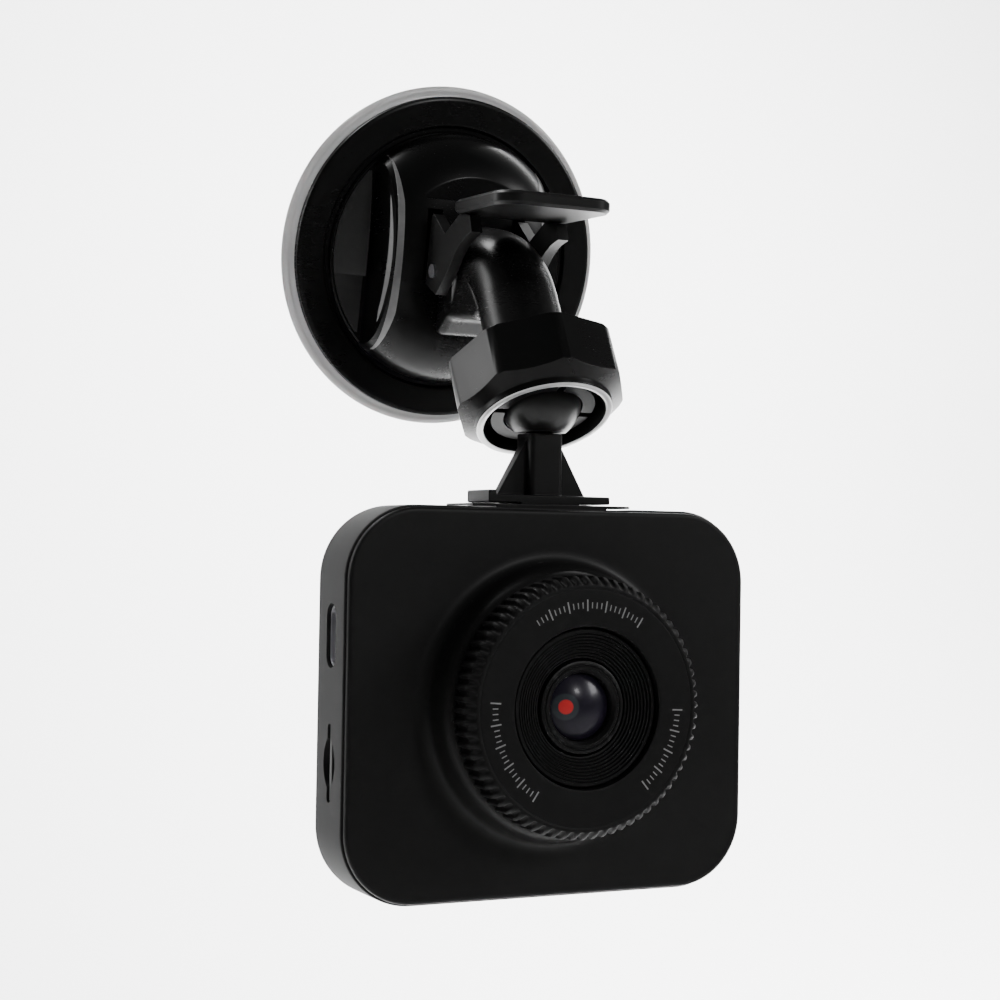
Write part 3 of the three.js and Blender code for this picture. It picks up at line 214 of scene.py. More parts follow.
def sweep(path, radius, count):
    """A round tube through points in the y, z plane."""
    loops = []
    for i, point in enumerate(path):
        ahead = Vector(path[min(i + 1, len(path) - 1)]) - Vector(path[max(i - 1, 0)])
        ahead.normalize()
        side = Vector((1, 0, 0))
        over = ahead.cross(side)
        turns = [2 * pi * k / count for k in range(count)]
        loops.append([Vector(point) + radius * (cos(t) * side + sin(t) * over) for t in turns])
    return loft(loops)


# ---- Objects ----
def link(name, bm, at):
    mesh = bpy.data.meshes.new(name)
    bm.to_mesh(mesh)
    bm.free()
    mesh.transform(at)
    made = bpy.data.objects.new(name, mesh)
    bpy.context.scene.collection.objects.link(made)
    return made


def keep_modified(piece):
    """Makes the result of a piece's modifiers its own mesh."""
    evaluated = piece.evaluated_get(bpy.context.evaluated_depsgraph_get())
    mesh = bpy.data.meshes.new_from_object(evaluated)
    piece.modifiers.clear()
    old, piece.data = piece.data, mesh
    bpy.data.meshes.remove(old)


def merge(piece, operation, other):
    """Joins, cuts or intersects a piece with another, which is used up."""
    change = piece.modifiers.new("combine", "BOOLEAN")
    change.operation = operation
    change.solver = "EXACT"
    change.object = other
    keep_modified(piece)
    bpy.data.meshes.remove(other.data)


def combine(piece, operation, *tools, at):
    """Merges a piece with tools given as meshes in the frame at."""
    for tool in tools:
        merge(piece, operation, link("tool", tool, at))


def soften(piece, width, steps=2, angle=32):
    """Rounds a piece's sharp edges by a width in millimetres."""
    bm = bmesh.new()
    bm.from_mesh(piece.data)
    bmesh.ops.remove_doubles(bm, verts=bm.verts, dist=2e-6)
    bmesh.ops.dissolve_limit(bm, angle_limit=radians(0.8), verts=bm.verts, edges=bm.edges)
    bm.to_mesh(piece.data)
    bm.free()
    change = piece.modifiers.new("round edges", "BEVEL")
    change.width = width * MM
    change.segments = steps
    change.limit_method = "ANGLE"
    change.angle_limit = radians(angle)
    change.miter_outer = "MITER_ARC"
    keep_modified(piece)
    return piece


def refined(name, node, width, steps=2):
    """A CAD node's own shape as a new piece with rounded edges."""
    bm = bmesh.new()
    bm.from_mesh(frame["nodes"][node].data)
    return soften(link(name, bm, Matrix.Identity(4)), width, steps)


def finish_piece(piece, body, slot, material, *nodes, angle=40, weighted=True):
    for face in piece.data.polygons:
        face.use_smooth = True
    piece.data.set_sharp_from_angle(angle=radians(angle))
    if weighted:
        piece.modifiers.new("even normals", "WEIGHTED_NORMAL").keep_sharp = True
        keep_modified(piece)
    piece.data.materials.clear()
    piece.data.materials.append(material)
    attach(piece, body)
    if nodes:
        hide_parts(*nodes)
    return piece


# ---- Shader node groups ----
def group_tree(name, inputs, outputs):
    tree = bpy.data.node_groups.new(name, "ShaderNodeTree")
    for label, default in inputs:
        socket = tree.interface.new_socket(label, in_out="INPUT", socket_type="NodeSocketFloat")
        socket.default_value = default
    for label, kind in outputs:
        tree.interface.new_socket(label, in_out="OUTPUT", socket_type=kind)
    return tree, tree.nodes.new("NodeGroupInput"), tree.nodes.new("NodeGroupOutput")


def node(tree, kind, **values):
    made = tree.nodes.new(kind)
    for key, value in values.items():
        setattr(made, key, value)
    return made


def math_node(tree, operation, a, b):
    made = node(tree, "ShaderNodeMath", operation=operation)
    for slot, value in zip(made.inputs, (a, b)):
        if isinstance(value, (int, float)):
            slot.default_value = value
        else:
            tree.links.new(value, slot)
    return made.outputs[0]


def noise(tree, vector, scale, detail=3.0, roughness=0.6):
    made = node(tree, "ShaderNodeTexNoise")
    made.inputs["Detail"].default_value = detail
    made.inputs["Roughness"].default_value = roughness
    tree.links.new(vector, made.inputs["Vector"])
    if isinstance(scale, (int, float)):
        made.inputs["Scale"].default_value = scale
    else:
        tree.links.new(scale, made.inputs["Scale"])
    return made.outputs["Fac"]


def make_grain_group():
    """Spark-eroded mould texture: a fine pebble with a finer tooth over it."""
    tree, come, go = group_tree(
        "Moulded grain", [("Scale", 5200.0), ("Tooth", 0.35)],
        [("Height", "NodeSocketFloat"), ("Speckle", "NodeSocketFloat")],
    )
    where = node(tree, "ShaderNodeTexCoord").outputs["Object"]
    pebble = node(tree, "ShaderNodeTexVoronoi", feature="SMOOTH_F1")
    tree.links.new(where, pebble.inputs["Vector"])
    tree.links.new(come.outputs["Scale"], pebble.inputs["Scale"])
    tooth = noise(tree, where, math_node(tree, "MULTIPLY", come.outputs["Scale"], 2.3), 2.0)
    part = math_node(tree, "MULTIPLY", tooth, come.outputs["Tooth"])
    tree.links.new(math_node(tree, "ADD", pebble.outputs["Distance"], part), go.inputs["Height"])
    tree.links.new(tooth, go.inputs["Speckle"])
    return tree


def make_handling_group():
    """Broad cloudy patches and fine smears left by handling."""
    tree, come, go = group_tree(
        "Handling", [("Scale", 60.0), ("Strength", 0.1)],
        [("Roughness", "NodeSocketFloat"), ("Tone", "NodeSocketFloat")],
    )
    where = node(tree, "ShaderNodeTexCoord").outputs["Object"]
    cloud = noise(tree, where, come.outputs["Scale"], 4.0, 0.55)
    smear = node(tree, "ShaderNodeMapping")
    smear.inputs["Scale"].default_value = (1.0, 0.4, 3.2)
    smear.inputs["Rotation"].default_value = (0.3, 0.2, 0.6)
    tree.links.new(where, smear.inputs["Vector"])
    fine_scale = math_node(tree, "MULTIPLY", come.outputs["Scale"], 7.0)
    fine = noise(tree, smear.outputs["Vector"], fine_scale, 3.0, 0.7)
    most, rest = math_node(tree, "MULTIPLY", cloud, 0.7), math_node(tree, "MULTIPLY", fine, 0.3)
    mixed = math_node(tree, "ADD", most, rest)
    centred = math_node(tree, "SUBTRACT", mixed, 0.5)
    tree.links.new(math_node(tree, "MULTIPLY", centred, come.outputs["Strength"]), go.inputs["Roughness"])
    tree.links.new(mixed, go.inputs["Tone"])
    return tree


def make_wear_group():
    """Edges polished a little lighter, broken up by noise."""
    tree, come, go = group_tree("Edge wear", [("Amount", 0.5)], [("Mask", "NodeSocketFloat")])
    point = node(tree, "ShaderNodeNewGeometry").outputs["Pointiness"]
    where = node(tree, "ShaderNodeTexCoord").outputs["Object"]
    ramp = node(tree, "ShaderNodeMapRange")
    ramp.inputs["From Min"].default_value = 0.545
    ramp.inputs["From Max"].default_value = 0.66
    tree.links.new(point, ramp.inputs["Value"])
    broken = math_node(tree, "MULTIPLY", ramp.outputs["Result"], noise(tree, where, 900.0, 3.0))
    tree.links.new(math_node(tree, "MULTIPLY", broken, come.outputs["Amount"]), go.inputs["Mask"])
    return tree


GROUPS = {}


def effect(tree, name, **values):
    made = node(tree, "ShaderNodeGroup")
    made.node_tree = GROUPS[name]
    for key, value in values.items():
        made.inputs[key].default_value = value
    return made.outputs


# ---- Materials ----
def start_material(name):
    made = bpy.data.materials.new(name)
    made.use_nodes = True
    return made, made.node_tree, made.node_tree.nodes["Principled BSDF"]


def tint(tree, factor, low, high):
    ramp = node(tree, "ShaderNodeMix", data_type="RGBA")
    tree.links.new(factor, ramp.inputs["Factor"])
    ramp.inputs["A"].default_value = (*low, 1)
    ramp.inputs["B"].default_value = (*high, 1)
    return ramp.outputs["Result"]


def shade(color, share):
    return tuple(channel * share for channel in color)


def surface(
    name, color, roughness, grain=5200.0, depth=0.00001, bump=0.3, handling=0.12, wear=0.3,
    worn=None, specular=0.5, coat=0.0, metallic=0.0, vary=0.18,
):
    """A moulded or plated surface with mould grain, handling marks and worn edges."""
    made, tree, shader = start_material(name)
    touched = effect(tree, "handling", Scale=60.0, Strength=handling)
    texture = effect(tree, "grain", Scale=grain)
    base = tint(tree, touched["Tone"], shade(color, 1 - vary), shade(color, 1 + vary))
    mask = effect(tree, "wear", Amount=wear)["Mask"]
    edges = node(tree, "ShaderNodeMix", data_type="RGBA")
    tree.links.new(mask, edges.inputs["Factor"])
    tree.links.new(base, edges.inputs["A"])
    edges.inputs["B"].default_value = (*(worn or shade(color, 3.0)), 1)
    tree.links.new(edges.outputs["Result"], shader.inputs["Base Color"])
    rough = math_node(tree, "ADD", touched["Roughness"], roughness)
    tree.links.new(rough, shader.inputs["Roughness"])
    height = node(tree, "ShaderNodeBump")
    height.inputs["Strength"].default_value = bump
    height.inputs["Distance"].default_value = depth
    tree.links.new(texture["Height"], height.inputs["Height"])
    tree.links.new(height.outputs["Normal"], shader.inputs["Normal"])
    shader.inputs["Specular IOR Level"].default_value = specular
    shader.inputs["Coat Weight"].default_value = coat
    shader.inputs["Coat Roughness"].default_value = 0.06
    shader.inputs["Metallic"].default_value = metallic
    return made


def lens_material(name, red):
    """Dark coated glass with a painted glint, left of its middle: a small spot in the glint colour inside a
    grey halo, a painted reflection of the filter behind it.
    """
    made, tree, shader = start_material(name)
    where = node(tree, "ShaderNodeTexCoord").outputs["Object"]
    glint = LENS + Vector((GLINT_X, 0, GLINT_Y)) * MM

    def ring(centre, radius, edge):
        away = node(tree, "ShaderNodeVectorMath", operation="MULTIPLY_ADD")
        away.inputs[1].default_value = (1 / MM, 0, 1 / MM)
        away.inputs[2].default_value = (-centre.x / MM, 0, -centre.z / MM)
        tree.links.new(where, away.inputs[0])
        far = node(tree, "ShaderNodeVectorMath", operation="LENGTH")
        tree.links.new(away.outputs[0], far.inputs[0])
        fall = node(tree, "ShaderNodeMapRange", interpolation_type="SMOOTHSTEP")
        fall.inputs["From Min"].default_value = radius
        fall.inputs["From Max"].default_value = radius + edge
        fall.inputs["To Min"].default_value = 1
        fall.inputs["To Max"].default_value = 0
        tree.links.new(far.outputs["Value"], fall.inputs["Value"])
        return fall.outputs["Result"]

    cloud = noise(tree, where, 900.0, 3.0)
    deep = tint(tree, cloud, (0.008, 0.007, 0.012), (0.014, 0.011, 0.020))
    # A painted grey halo and a painted spot in the glint colour: the filter's reflection, painted into the
    # glass's own colour.
    painted_halo = node(tree, "ShaderNodeMix", data_type="RGBA")
    tree.links.new(ring(glint, 1.75, 0.4), painted_halo.inputs["Factor"])
    tree.links.new(deep, painted_halo.inputs["A"])
    painted_halo.inputs["B"].default_value = (0.035, 0.042, 0.046, 1)
    painted_spot = node(tree, "ShaderNodeMix", data_type="RGBA")
    tree.links.new(ring(glint, 0.95, 0.22), painted_spot.inputs["Factor"])
    tree.links.new(painted_halo.outputs["Result"], painted_spot.inputs["A"])
    painted_spot.inputs["B"].default_value = (*red, 1)
    tree.links.new(painted_spot.outputs["Result"], shader.inputs["Base Color"])
    smear = effect(tree, "handling", Scale=220.0, Strength=0.03)
    tree.links.new(math_node(tree, "ADD", smear["Roughness"], 0.3), shader.inputs["Roughness"])
    shader.inputs["Coat Weight"].default_value = 0.12
    shader.inputs["Coat Roughness"].default_value = 0.12
    shader.inputs["Coat Tint"].default_value = (0.75, 0.68, 1.0, 1)
    shader.inputs["Specular IOR Level"].default_value = 0.2
    return made


def cup_material(name, color):
    """Soft clear-grey rubber that lets some light through."""
    made, tree, shader = start_material(name)
    touched = effect(tree, "handling", Scale=110.0, Strength=0.16)
    base = tint(tree, touched["Tone"], shade(color, 0.8), shade(color, 1.2))
    tree.links.new(base, shader.inputs["Base Color"])
    tree.links.new(math_node(tree, "ADD", touched["Roughness"], 0.32), shader.inputs["Roughness"])
    height = node(tree, "ShaderNodeBump")
    height.inputs["Strength"].default_value = 0.2
    height.inputs["Distance"].default_value = 0.00002
    tree.links.new(effect(tree, "grain", Scale=1800.0)["Height"], height.inputs["Height"])
    tree.links.new(height.outputs["Normal"], shader.inputs["Normal"])
    shader.inputs["Transmission Weight"].default_value = 0.3
    shader.inputs["Subsurface Weight"].default_value = 0.15
    shader.inputs["Subsurface Scale"].default_value = 0.002
    return made


MATERIALS = {}
POLISH = 0.000004  # relief of a polished moulding, in metres
GLASS_POLISH = 0.000002


def make_materials(colours):
    GROUPS["grain"] = make_grain_group()
    GROUPS["handling"] = make_handling_group()
    GROUPS["wear"] = make_wear_group()
    front, side = tuple(colours.front), tuple(colours.side)
    gloss, cup = tuple(colours.gloss), tuple(colours.cup)
    table = {
        "satin_black": surface("Satin black", front, 0.42, bump=0.22, specular=0.15),
        "ring_black": surface(
            "Ring black", shade(front, 0.7), 0.5, grain=7000.0, specular=0.12, wear=0.5,
        ),
        "mount_satin": surface(
            "Mount satin black", front, 0.36, specular=0.16, wear=0.5, worn=shade(front, 8.0),
        ),
        "ball_black": surface(
            "Ball black", gloss, 0.3, depth=POLISH, bump=0.06, handling=0.06, specular=0.5,
        ),
        # A lighter copy of the housing's black for the scoop facets: painted light, so that they look lit.
        "scoop_painted_light": surface(
            "Scoop black painted lighter", shade(front, 2.2), 0.34, bump=0.1, handling=0.16, specular=0.3,
        ),
        "case_grey": surface(
            "Case grey", side, 0.55, bump=0.3, specular=0.06, wear=0.25, worn=shade(side, 1.7),
        ),
        "gloss_black": surface(
            "Gloss black", gloss, 0.28, depth=POLISH, bump=0.08, handling=0.08, wear=0.35,
            specular=0.17, worn=shade(gloss, 8.0),
        ),
        # Light grey of the spine's edge strips: a painted highlight on the black housing.
        "painted_highlight_grey": surface("Painted highlight grey", (0.17, 0.17, 0.17), 0.4, wear=0.5, worn=(0.5, 0.5, 0.5)),
        # Light grey of the nut's lip face: a painted highlight on the black nut.
        "lip": surface(
            "Lip painted highlight", (0.75, 0.75, 0.75), 0.3, depth=POLISH, bump=0.1, wear=0.2,
            worn=(0.85, 0.85, 0.85), metallic=0.5,
        ),
        "print": surface("Ring marks", tuple(colours.print), 0.6, wear=0.2),
        "steel": surface("Bright steel", (0.5, 0.5, 0.52), 0.28, metallic=1.0, handling=0.2, grain=3000.0),
        "zinc": surface("Zinc plate", (0.45, 0.46, 0.47), 0.36, metallic=1.0, handling=0.25, grain=2500.0),
        "screen": surface(
            "Screen glass", (0.004, 0.004, 0.006), 0.06, depth=GLASS_POLISH, bump=0.03, handling=0.06,
            wear=0.0, coat=1.0,
        ),
        "board": surface("Board green", (0.01, 0.09, 0.04), 0.45, grain=2600.0),
        "chip": surface("Black moulding", (0.01, 0.01, 0.01), 0.55, grain=4000.0),
        "battery_wrap": surface(
            "Battery pouch", (0.2, 0.22, 0.24), 0.34, metallic=0.4, grain=900.0, depth=0.00003,
        ),
        "friction": surface("Friction pad", (0.03, 0.03, 0.03), 0.8, grain=1500.0, depth=0.00004),
        "light_pipe": surface(
            "Light pipe", (0.6, 0.65, 0.64), 0.25, wear=0.1, worn=(0.7, 0.74, 0.73),
        ),
        "inner_glass": surface(
            "Inner glass", (0.03, 0.025, 0.04), 0.08, depth=GLASS_POLISH, bump=0.03, wear=0.0, coat=1.0,
        ),
        "lens_glass": lens_material("Lens glass", tuple(colours.red)),
        "soft_cup": cup_material("Soft cup", cup),
    }
    MATERIALS.update(table)


# CAD nodes that keep their own shape, by finish.
KEPT = {
    "steel": [
        "lever_pin", "return_spring", "arm_screw_1", "arm_screw_2", "holder_screw_1", "holder_screw_2",
        "ring_clip", "card_socket",
    ],
    "zinc": ["cup_stem", "microphone"],
    "friction": ["friction_pad"],
    "inner_glass": ["inner_lens", "rear_lens", "ir_filter"],
    "chip": [
        "lens_holder", "image_sensor", "main_processor", "speaker", "switch_power", "switch_menu",
        "switch_up", "switch_down", "switch_record",
    ],
    "board": ["sensor_board", "main_board"],
    "battery_wrap": ["battery"],
    "screen": ["lcd_panel"],
}


def finish_frame():
    for finish_name, names in KEPT.items():
        for name in names:
            slots = frame["nodes"][name].data.materials
            slots.clear()
            slots.append(MATERIALS[finish_name])


# ---- Suction mount ----
RIM_GROOVE = 1.0
RIM_GROOVE_DEPTH = 0.8
HOUSING_BACK = 1.8
DISC_CROWN = 1.2
PLATEAU_R = 7.4
SPINE_DRAFT = 1.6
SPINE_CHAMFER = 0.6
SPINE_CHAMFER_H = 3.0
# Width of the painted highlight strips along the spine's edges.
HIGHLIGHT_STRIP_W = 1.7
WELL_INNER, WELL_OUTER, WELL_LOW = 6.4, 8.9, 10.4
WELL_DOWN, WELL_UP = -3.5, 8.5
HEEL_UP, HEEL_LOW, HEEL_HALF = 10.1, 13.3, 9.3
ABOVE = 20  # higher than the housing, for what is cut from its top
CUP_BEAD_T = 1.6
CUP_HOLLOW = 0.9


def make_suction_cup():
    """Soft disc, hollowed on the glass side, with a bead round its edge."""
    profile = [
        (0, CUP_HOLLOW), (19, CUP_HOLLOW), (22.5, 0.5), (24.3, 0), (CUP_R - 0.6, 0),
        (CUP_R - 0.15, 0.15), (CUP_R, 0.5),
        (CUP_R, 0.95), (CUP_R - 0.12, 1.3), (CUP_R - 0.45, 1.55), (CUP_R - 0.8, CUP_BEAD_T),
        (CUP_R - 1.0, 1.45), (CUP_R - 1.3, 1.38), (CUP_R - 1.7, 1.42), (CUP_R - 1.9, CUP_BEAD_T),
        (0, CUP_BEAD_T),
    ]
    piece = link("suction_cup_soft", turned(profile, 192), ON_GLASS)
    finish_piece(piece, "cup_base", "soft_cup", MATERIALS["soft_cup"], "suction_cup", angle=60)


def dome_height(sizes, r):
    """Height of the housing's dome above the glass at a radius."""
    floor = mm(sizes, "rim_top")
    edge = HOUSING_R - mm(sizes, "rim_width") - RIM_GROOVE
    share = min(max((r - PLATEAU_R) / (edge - PLATEAU_R), 0), 1)
    return floor + (mm(sizes, "plateau") - floor) * sin(acos(share))


def spine_slab(sizes):
    half, top = mm(sizes, "spine_half"), mm(sizes, "plateau")
    shape = [
        (-half - SPINE_DRAFT, 0), (half + SPINE_DRAFT, 0), (half + SPINE_CHAMFER, top - SPINE_CHAMFER_H),
        (half, top + 1), (-half, top + 1), (-half - SPINE_CHAMFER, top - SPINE_CHAMFER_H),
    ]
    ends = [[(x, y, z) for x, z in shape] for y in (-HOUSING_R, HOUSING_R)]
    return loft(ends)


def make_housing(sizes):
    top, rim_in = mm(sizes, "rim_top"), HOUSING_R - mm(sizes, "rim_width")
    floor_r = rim_in - RIM_GROOVE
    low = top - RIM_GROOVE_DEPTH
    disc = [
        (0, HOUSING_BACK), (HOUSING_R - 0.5, HOUSING_BACK), (HOUSING_R - 0.12, HOUSING_BACK + 0.2),
        (HOUSING_R, HOUSING_BACK + 0.6), (HOUSING_R, top - 0.7), (HOUSING_R - 0.12, top - 0.25),
        (HOUSING_R - 0.5, top - 0.04), (HOUSING_R - 0.9, top), (rim_in + 0.5, top),
        (rim_in + 0.15, top - 0.08), (rim_in, top - 0.25), (rim_in - 0.05, low + 0.2),
        (rim_in - 0.25, low), (floor_r + 0.2, low),
        (floor_r, low + 0.2), (floor_r, top - 0.15), (floor_r - 0.15, top), (0, top + DISC_CROWN),
    ]
    piece = link("housing_gloss", turned(disc, 192), ON_GLASS)
    steps, high = 24, mm(sizes, "plateau")
    dome = [(0, HOUSING_BACK), (floor_r, HOUSING_BACK)]
    for i in range(steps + 1):
        a = radians(90 * i / steps)
        dome.append((PLATEAU_R + (floor_r - PLATEAU_R) * cos(a), top + (high - top) * sin(a)))
    dome.append((0, high))
    spine = link("spine", turned(dome, 160), ON_GLASS)
    combine(spine, "INTERSECT", spine_slab(sizes), at=ON_GLASS)
    cutters = [
        box(side * WELL_INNER, side * WELL_OUTER, WELL_DOWN, WELL_UP, WELL_LOW, ABOVE)
        for side in (-1, 1)
    ]
    cutters.append(box(-HEEL_HALF, HEEL_HALF, HEEL_UP, HOUSING_R, HEEL_LOW, ABOVE))
    combine(spine, "DIFFERENCE", *cutters, at=ON_GLASS)
    merge(piece, "UNION", spine)
    finish_piece(piece, "cup_base", "gloss_black", MATERIALS["gloss_black"], "base_housing", angle=28)


def spine_highlight_strip(sizes, side, start, end, width):
    """A thin light grey strip along one top edge of the spine, between two heights up the mount: a painted
    highlight where the edge catches light.
    """
    half = mm(sizes, "spine_half")
    loops = []
    steps = 60
    for i in range(steps + 1):
        up = start + (end - start) * i / steps
        taper = min(1, 4.0 * min(i, steps - i) / steps + 0.12)
        w = width(i / steps) * taper
        x = half + 0.05
        z = dome_height(sizes, hypot(x, up)) - 0.25
        inner = x - w * 0.55
        z_in = dome_height(sizes, hypot(inner, up)) + 0.06
        outer = x + w * 0.45
        loops.append([
            (side * inner, up, z_in), (side * (x + 0.05), up, z + 0.28), (side * outer, up, z - 0.9 * w),
            (side * (outer - 0.3), up, z - 0.9 * w - 0.3), (side * inner, up, z_in - 0.5),
        ])
    piece = link("spine_highlight_strip_" + ("left" if side < 0 else "right"), loft(loops), ON_GLASS)
    finish_piece(piece, "cup_base", "case_grey", MATERIALS["painted_highlight_grey"], angle=30)


def scoop_facet(sizes, name, up_low, up_high, tilt, material):
    """A shallow leaf-shaped facet on the floor of the left scoop."""
    edge = HOUSING_R - mm(sizes, "rim_width") - RIM_GROOVE - 0.5
    inner = mm(sizes, "spine_half") + SPINE_DRAFT + 0.4
    floor = mm(sizes, "rim_top")
    steps = 28
    outer_points, inner_points = [], []
    for i in range(steps + 1):
        up = up_low + (up_high - up_low) * i / steps
        out = sqrt(max(edge * edge - up * up, inner * inner))
        outer_points.append((-out, up, floor + 0.16))
        rise = tilt * (out - inner) / (edge - inner)
        inner_points.append((-inner, up, floor + 0.3 + max(rise, 0)))
    low = [(x, y, floor - 0.3) for x, y, z in outer_points + inner_points[::-1]]
    high = outer_points + inner_points[::-1]
    bm = bmesh.new()
    bottom = [bm.verts.new(p) for p in low]
    top = [bm.verts.new(p) for p in high]
    count = steps + 1
    for i in range(steps):
        far = 2 * count - 1 - i
        bm.faces.new((top[i], top[i + 1], top[far - 1], top[far]))
        bm.faces.new((bottom[i], bottom[far], bottom[far - 1], bottom[i + 1]))
    for i in range(2 * count):
        k = (i + 1) % (2 * count)
        bm.faces.new((bottom[i], bottom[k], top[k], top[i]))
    bmesh.ops.remove_doubles(bm, verts=bm.verts, dist=1e-5)
    bmesh.ops.recalc_face_normals(bm, faces=bm.faces)
    piece = link(name, bm, ON_GLASS)
    finish_piece(piece, "cup_base", "gloss_black", material, angle=20)


ARM_BEND = 50
BALL_OUT, BALL_DOWN = 44.597, 18.597
ARM_REACH = BALL_DOWN / sin(radians(ARM_BEND))
ARM_OUT = BALL_OUT - BALL_DOWN / tan(radians(ARM_BEND))
BEND_R = 14
ARM_SEAT = 14.8
JAW_R = 8.7
JAW_BORE = 6.65
POCKET_R = 7.75
JAW_PAST = 2.2
JAW_BACK = -7.2
JAW_SLOT = 0.6
SLOT_REACH = 10
SLOT_BACK, SLOT_PAST = -4.5, 4
ARM_FOOT_Y = -12
STEM_BORE, STEM_WAY_OUT = 3.6, 23.5
PIN_WAY_HALF, PIN_WAY_LOW, PIN_WAY_HIGH, PIN_WAY_REACH = 1.45, -1.5, 20.0, 9


def arm_path():
    bend = radians(ARM_BEND)
    ease = BEND_R * tan(bend / 2)
    reach = Vector((0, -sin(bend), cos(bend)))
    corner = Vector((0, 0, ARM_OUT))
    start, end = Vector((0, 0, ARM_OUT - ease)), corner + ease * reach
    points = [Vector((0, 0, ARM_SEAT)), Vector((0, 0, ARM_SEAT + 3))]
    steps = 16
    for i in range(steps + 1):
        t = i / steps
        points.append((1 - t) ** 2 * start + 2 * t * (1 - t) * corner + t * t * end)
    points.append(corner + (ARM_REACH + NUT_BACK + 2) * reach)
    return points


def make_arm(sizes):
    """Cranked arm: a round tube on a wedge foot, ending in slotted jaws."""
    r = mm(sizes, "arm_radius")
    foot_side = [
        (ARM_SEAT, 4), (ARM_SEAT, ARM_FOOT_Y), (ARM_SEAT + 2.4, ARM_FOOT_Y), (ARM_SEAT + 5.5, -8.8),
        (ARM_OUT + 1, -r - 1.6), (ARM_OUT + 4, -r), (ARM_SEAT + 5, 4),
    ]
    half = r - 0.2
    foot = loft([[(x, up, out) for out, up in foot_side] for x in (-half, half)])
    piece = link("arm_gloss", foot, ON_GLASS)
    soften(piece, 1.1, 4)
    combine(piece, "UNION", sweep(arm_path(), r, 96), at=ON_GLASS)
    profile = [(0, JAW_BACK), (JAW_R, JAW_BACK), (JAW_R, JAW_PAST - 1.0), (JAW_R - 0.5, JAW_PAST)]
    profile.append((0, JAW_PAST))
    combine(piece, "UNION", turned(profile, 96), at=AT_BALL)
    seat = [(JAW_BORE * sin(radians(a)), JAW_BORE * cos(radians(a))) for a in range(180, 65, -5)]
    mouth = turned([*seat, (seat[-1][0], JAW_PAST + 1), (0, JAW_PAST + 1)], 96)
    pad = [(POCKET_R * sin(radians(a)), POCKET_R * cos(radians(a))) for a in range(180, 85, -5)]
    pocket = turned([*pad, (0, 0)], 64)
    combine(piece, "DIFFERENCE", mouth, pocket, at=AT_BALL)
    slots = [
        box(-JAW_SLOT, JAW_SLOT, -SLOT_REACH, SLOT_REACH, SLOT_BACK, SLOT_PAST),
        box(-SLOT_REACH, SLOT_REACH, -JAW_SLOT, JAW_SLOT, SLOT_BACK, SLOT_PAST),
    ]
    combine(piece, "DIFFERENCE", *slots, at=AT_BALL)
    below = ARM_SEAT - 1
    bore = turned([(0, below), (STEM_BORE, below), (STEM_BORE, STEM_WAY_OUT), (0, STEM_WAY_OUT)], 48)
    combine(piece, "DIFFERENCE", bore, at=ON_GLASS)
    far = arc(PIN_WAY_HALF, 0, 180, 12, PIN_WAY_LOW, PIN_WAY_HIGH)
    near = arc(PIN_WAY_HALF, 180, 360, 12, PIN_WAY_LOW, PIN_WAY_HIGH - 2.5)
    way = outline_prism(far + near, -PIN_WAY_REACH, PIN_WAY_REACH)
    for corner in way.verts:
        y, z, x = corner.co
        corner.co = (x, y, z)
    bmesh.ops.recalc_face_normals(way, faces=way.faces)
    combine(piece, "DIFFERENCE", way, at=ON_GLASS)
    finish_piece(piece, "cup_base", "gloss_black", MATERIALS["gloss_black"], "mount_arm", angle=35)


NUT_BACK = -7.5
NUT_TURNED = 30
NUT_SHOULDER = 0.6
NUT_FRONT = 2.4
LIP_OUT = 3.5
LIP_T = 1.2


def make_nut(sizes):
    """Octagonal clamp nut, chamfered at its corners and coned towards a raised lip."""
    flat, corner, lip = mm(sizes, "nut_apothem"), mm(sizes, "nut_corner"), mm(sizes, "lip_radius")
    side = flat * tan(pi / 8)
    shape = []
    for i in range(8):
        a = radians(45 * i + NUT_TURNED)
        for along in (-side + corner, side - corner):
            shape.append((flat * cos(a) - along * sin(a), flat * sin(a) + along * cos(a)))
    piece = link("nut_gloss", outline_prism(shape, NUT_BACK, LIP_OUT), AT_BALL)
    cone = [
        (0, NUT_BACK - 1), (flat - 0.3, NUT_BACK - 1), (flat + 1, NUT_BACK + 0.4), (flat + 1, NUT_SHOULDER),
        (lip + 0.3, NUT_FRONT - 0.2), (lip, NUT_FRONT), (lip, LIP_OUT - 0.3), (lip - 0.1, LIP_OUT - 0.1),
        (lip - 0.3, LIP_OUT), (0, LIP_OUT),
    ]
    combine(piece, "INTERSECT", turned(cone, 192), at=AT_BALL)
    clear = JAW_R + 0.3
    bore = [
        (0, NUT_BACK - 1), (clear, NUT_BACK - 1), (clear, JAW_PAST - 1.4), (lip - LIP_T, LIP_OUT - 0.4),
        (lip - LIP_T, LIP_OUT + 1), (0, LIP_OUT + 1),
    ]
    combine(piece, "DIFFERENCE", turned(bore, 128), at=AT_BALL)
    soften(piece, 0.18, 2, 26)
    finish_piece(piece, "nut", "gloss_black", MATERIALS["gloss_black"], "ball_nut", angle=30)
    # A light grey ring on the lip's front face: a painted highlight where the black nut's lip catches
    # light.
    face = [
        (lip - LIP_T + 0.06, LIP_OUT - 0.3), (lip - 0.12, LIP_OUT - 0.4), (lip - 0.1, LIP_OUT - 0.1),
        (lip - 0.22, LIP_OUT + 0.04), (lip - 0.4, LIP_OUT + 0.09), (lip - 0.9, LIP_OUT + 0.09),
        (lip - LIP_T + 0.12, LIP_OUT + 0.02), (lip - LIP_T + 0.06, LIP_OUT - 0.1),
    ]
    edge = link("nut_lip_painted_highlight", turned(face, 192, closed=True), AT_BALL)
    finish_piece(edge, "nut", "case_grey", MATERIALS["lip"], angle=30)


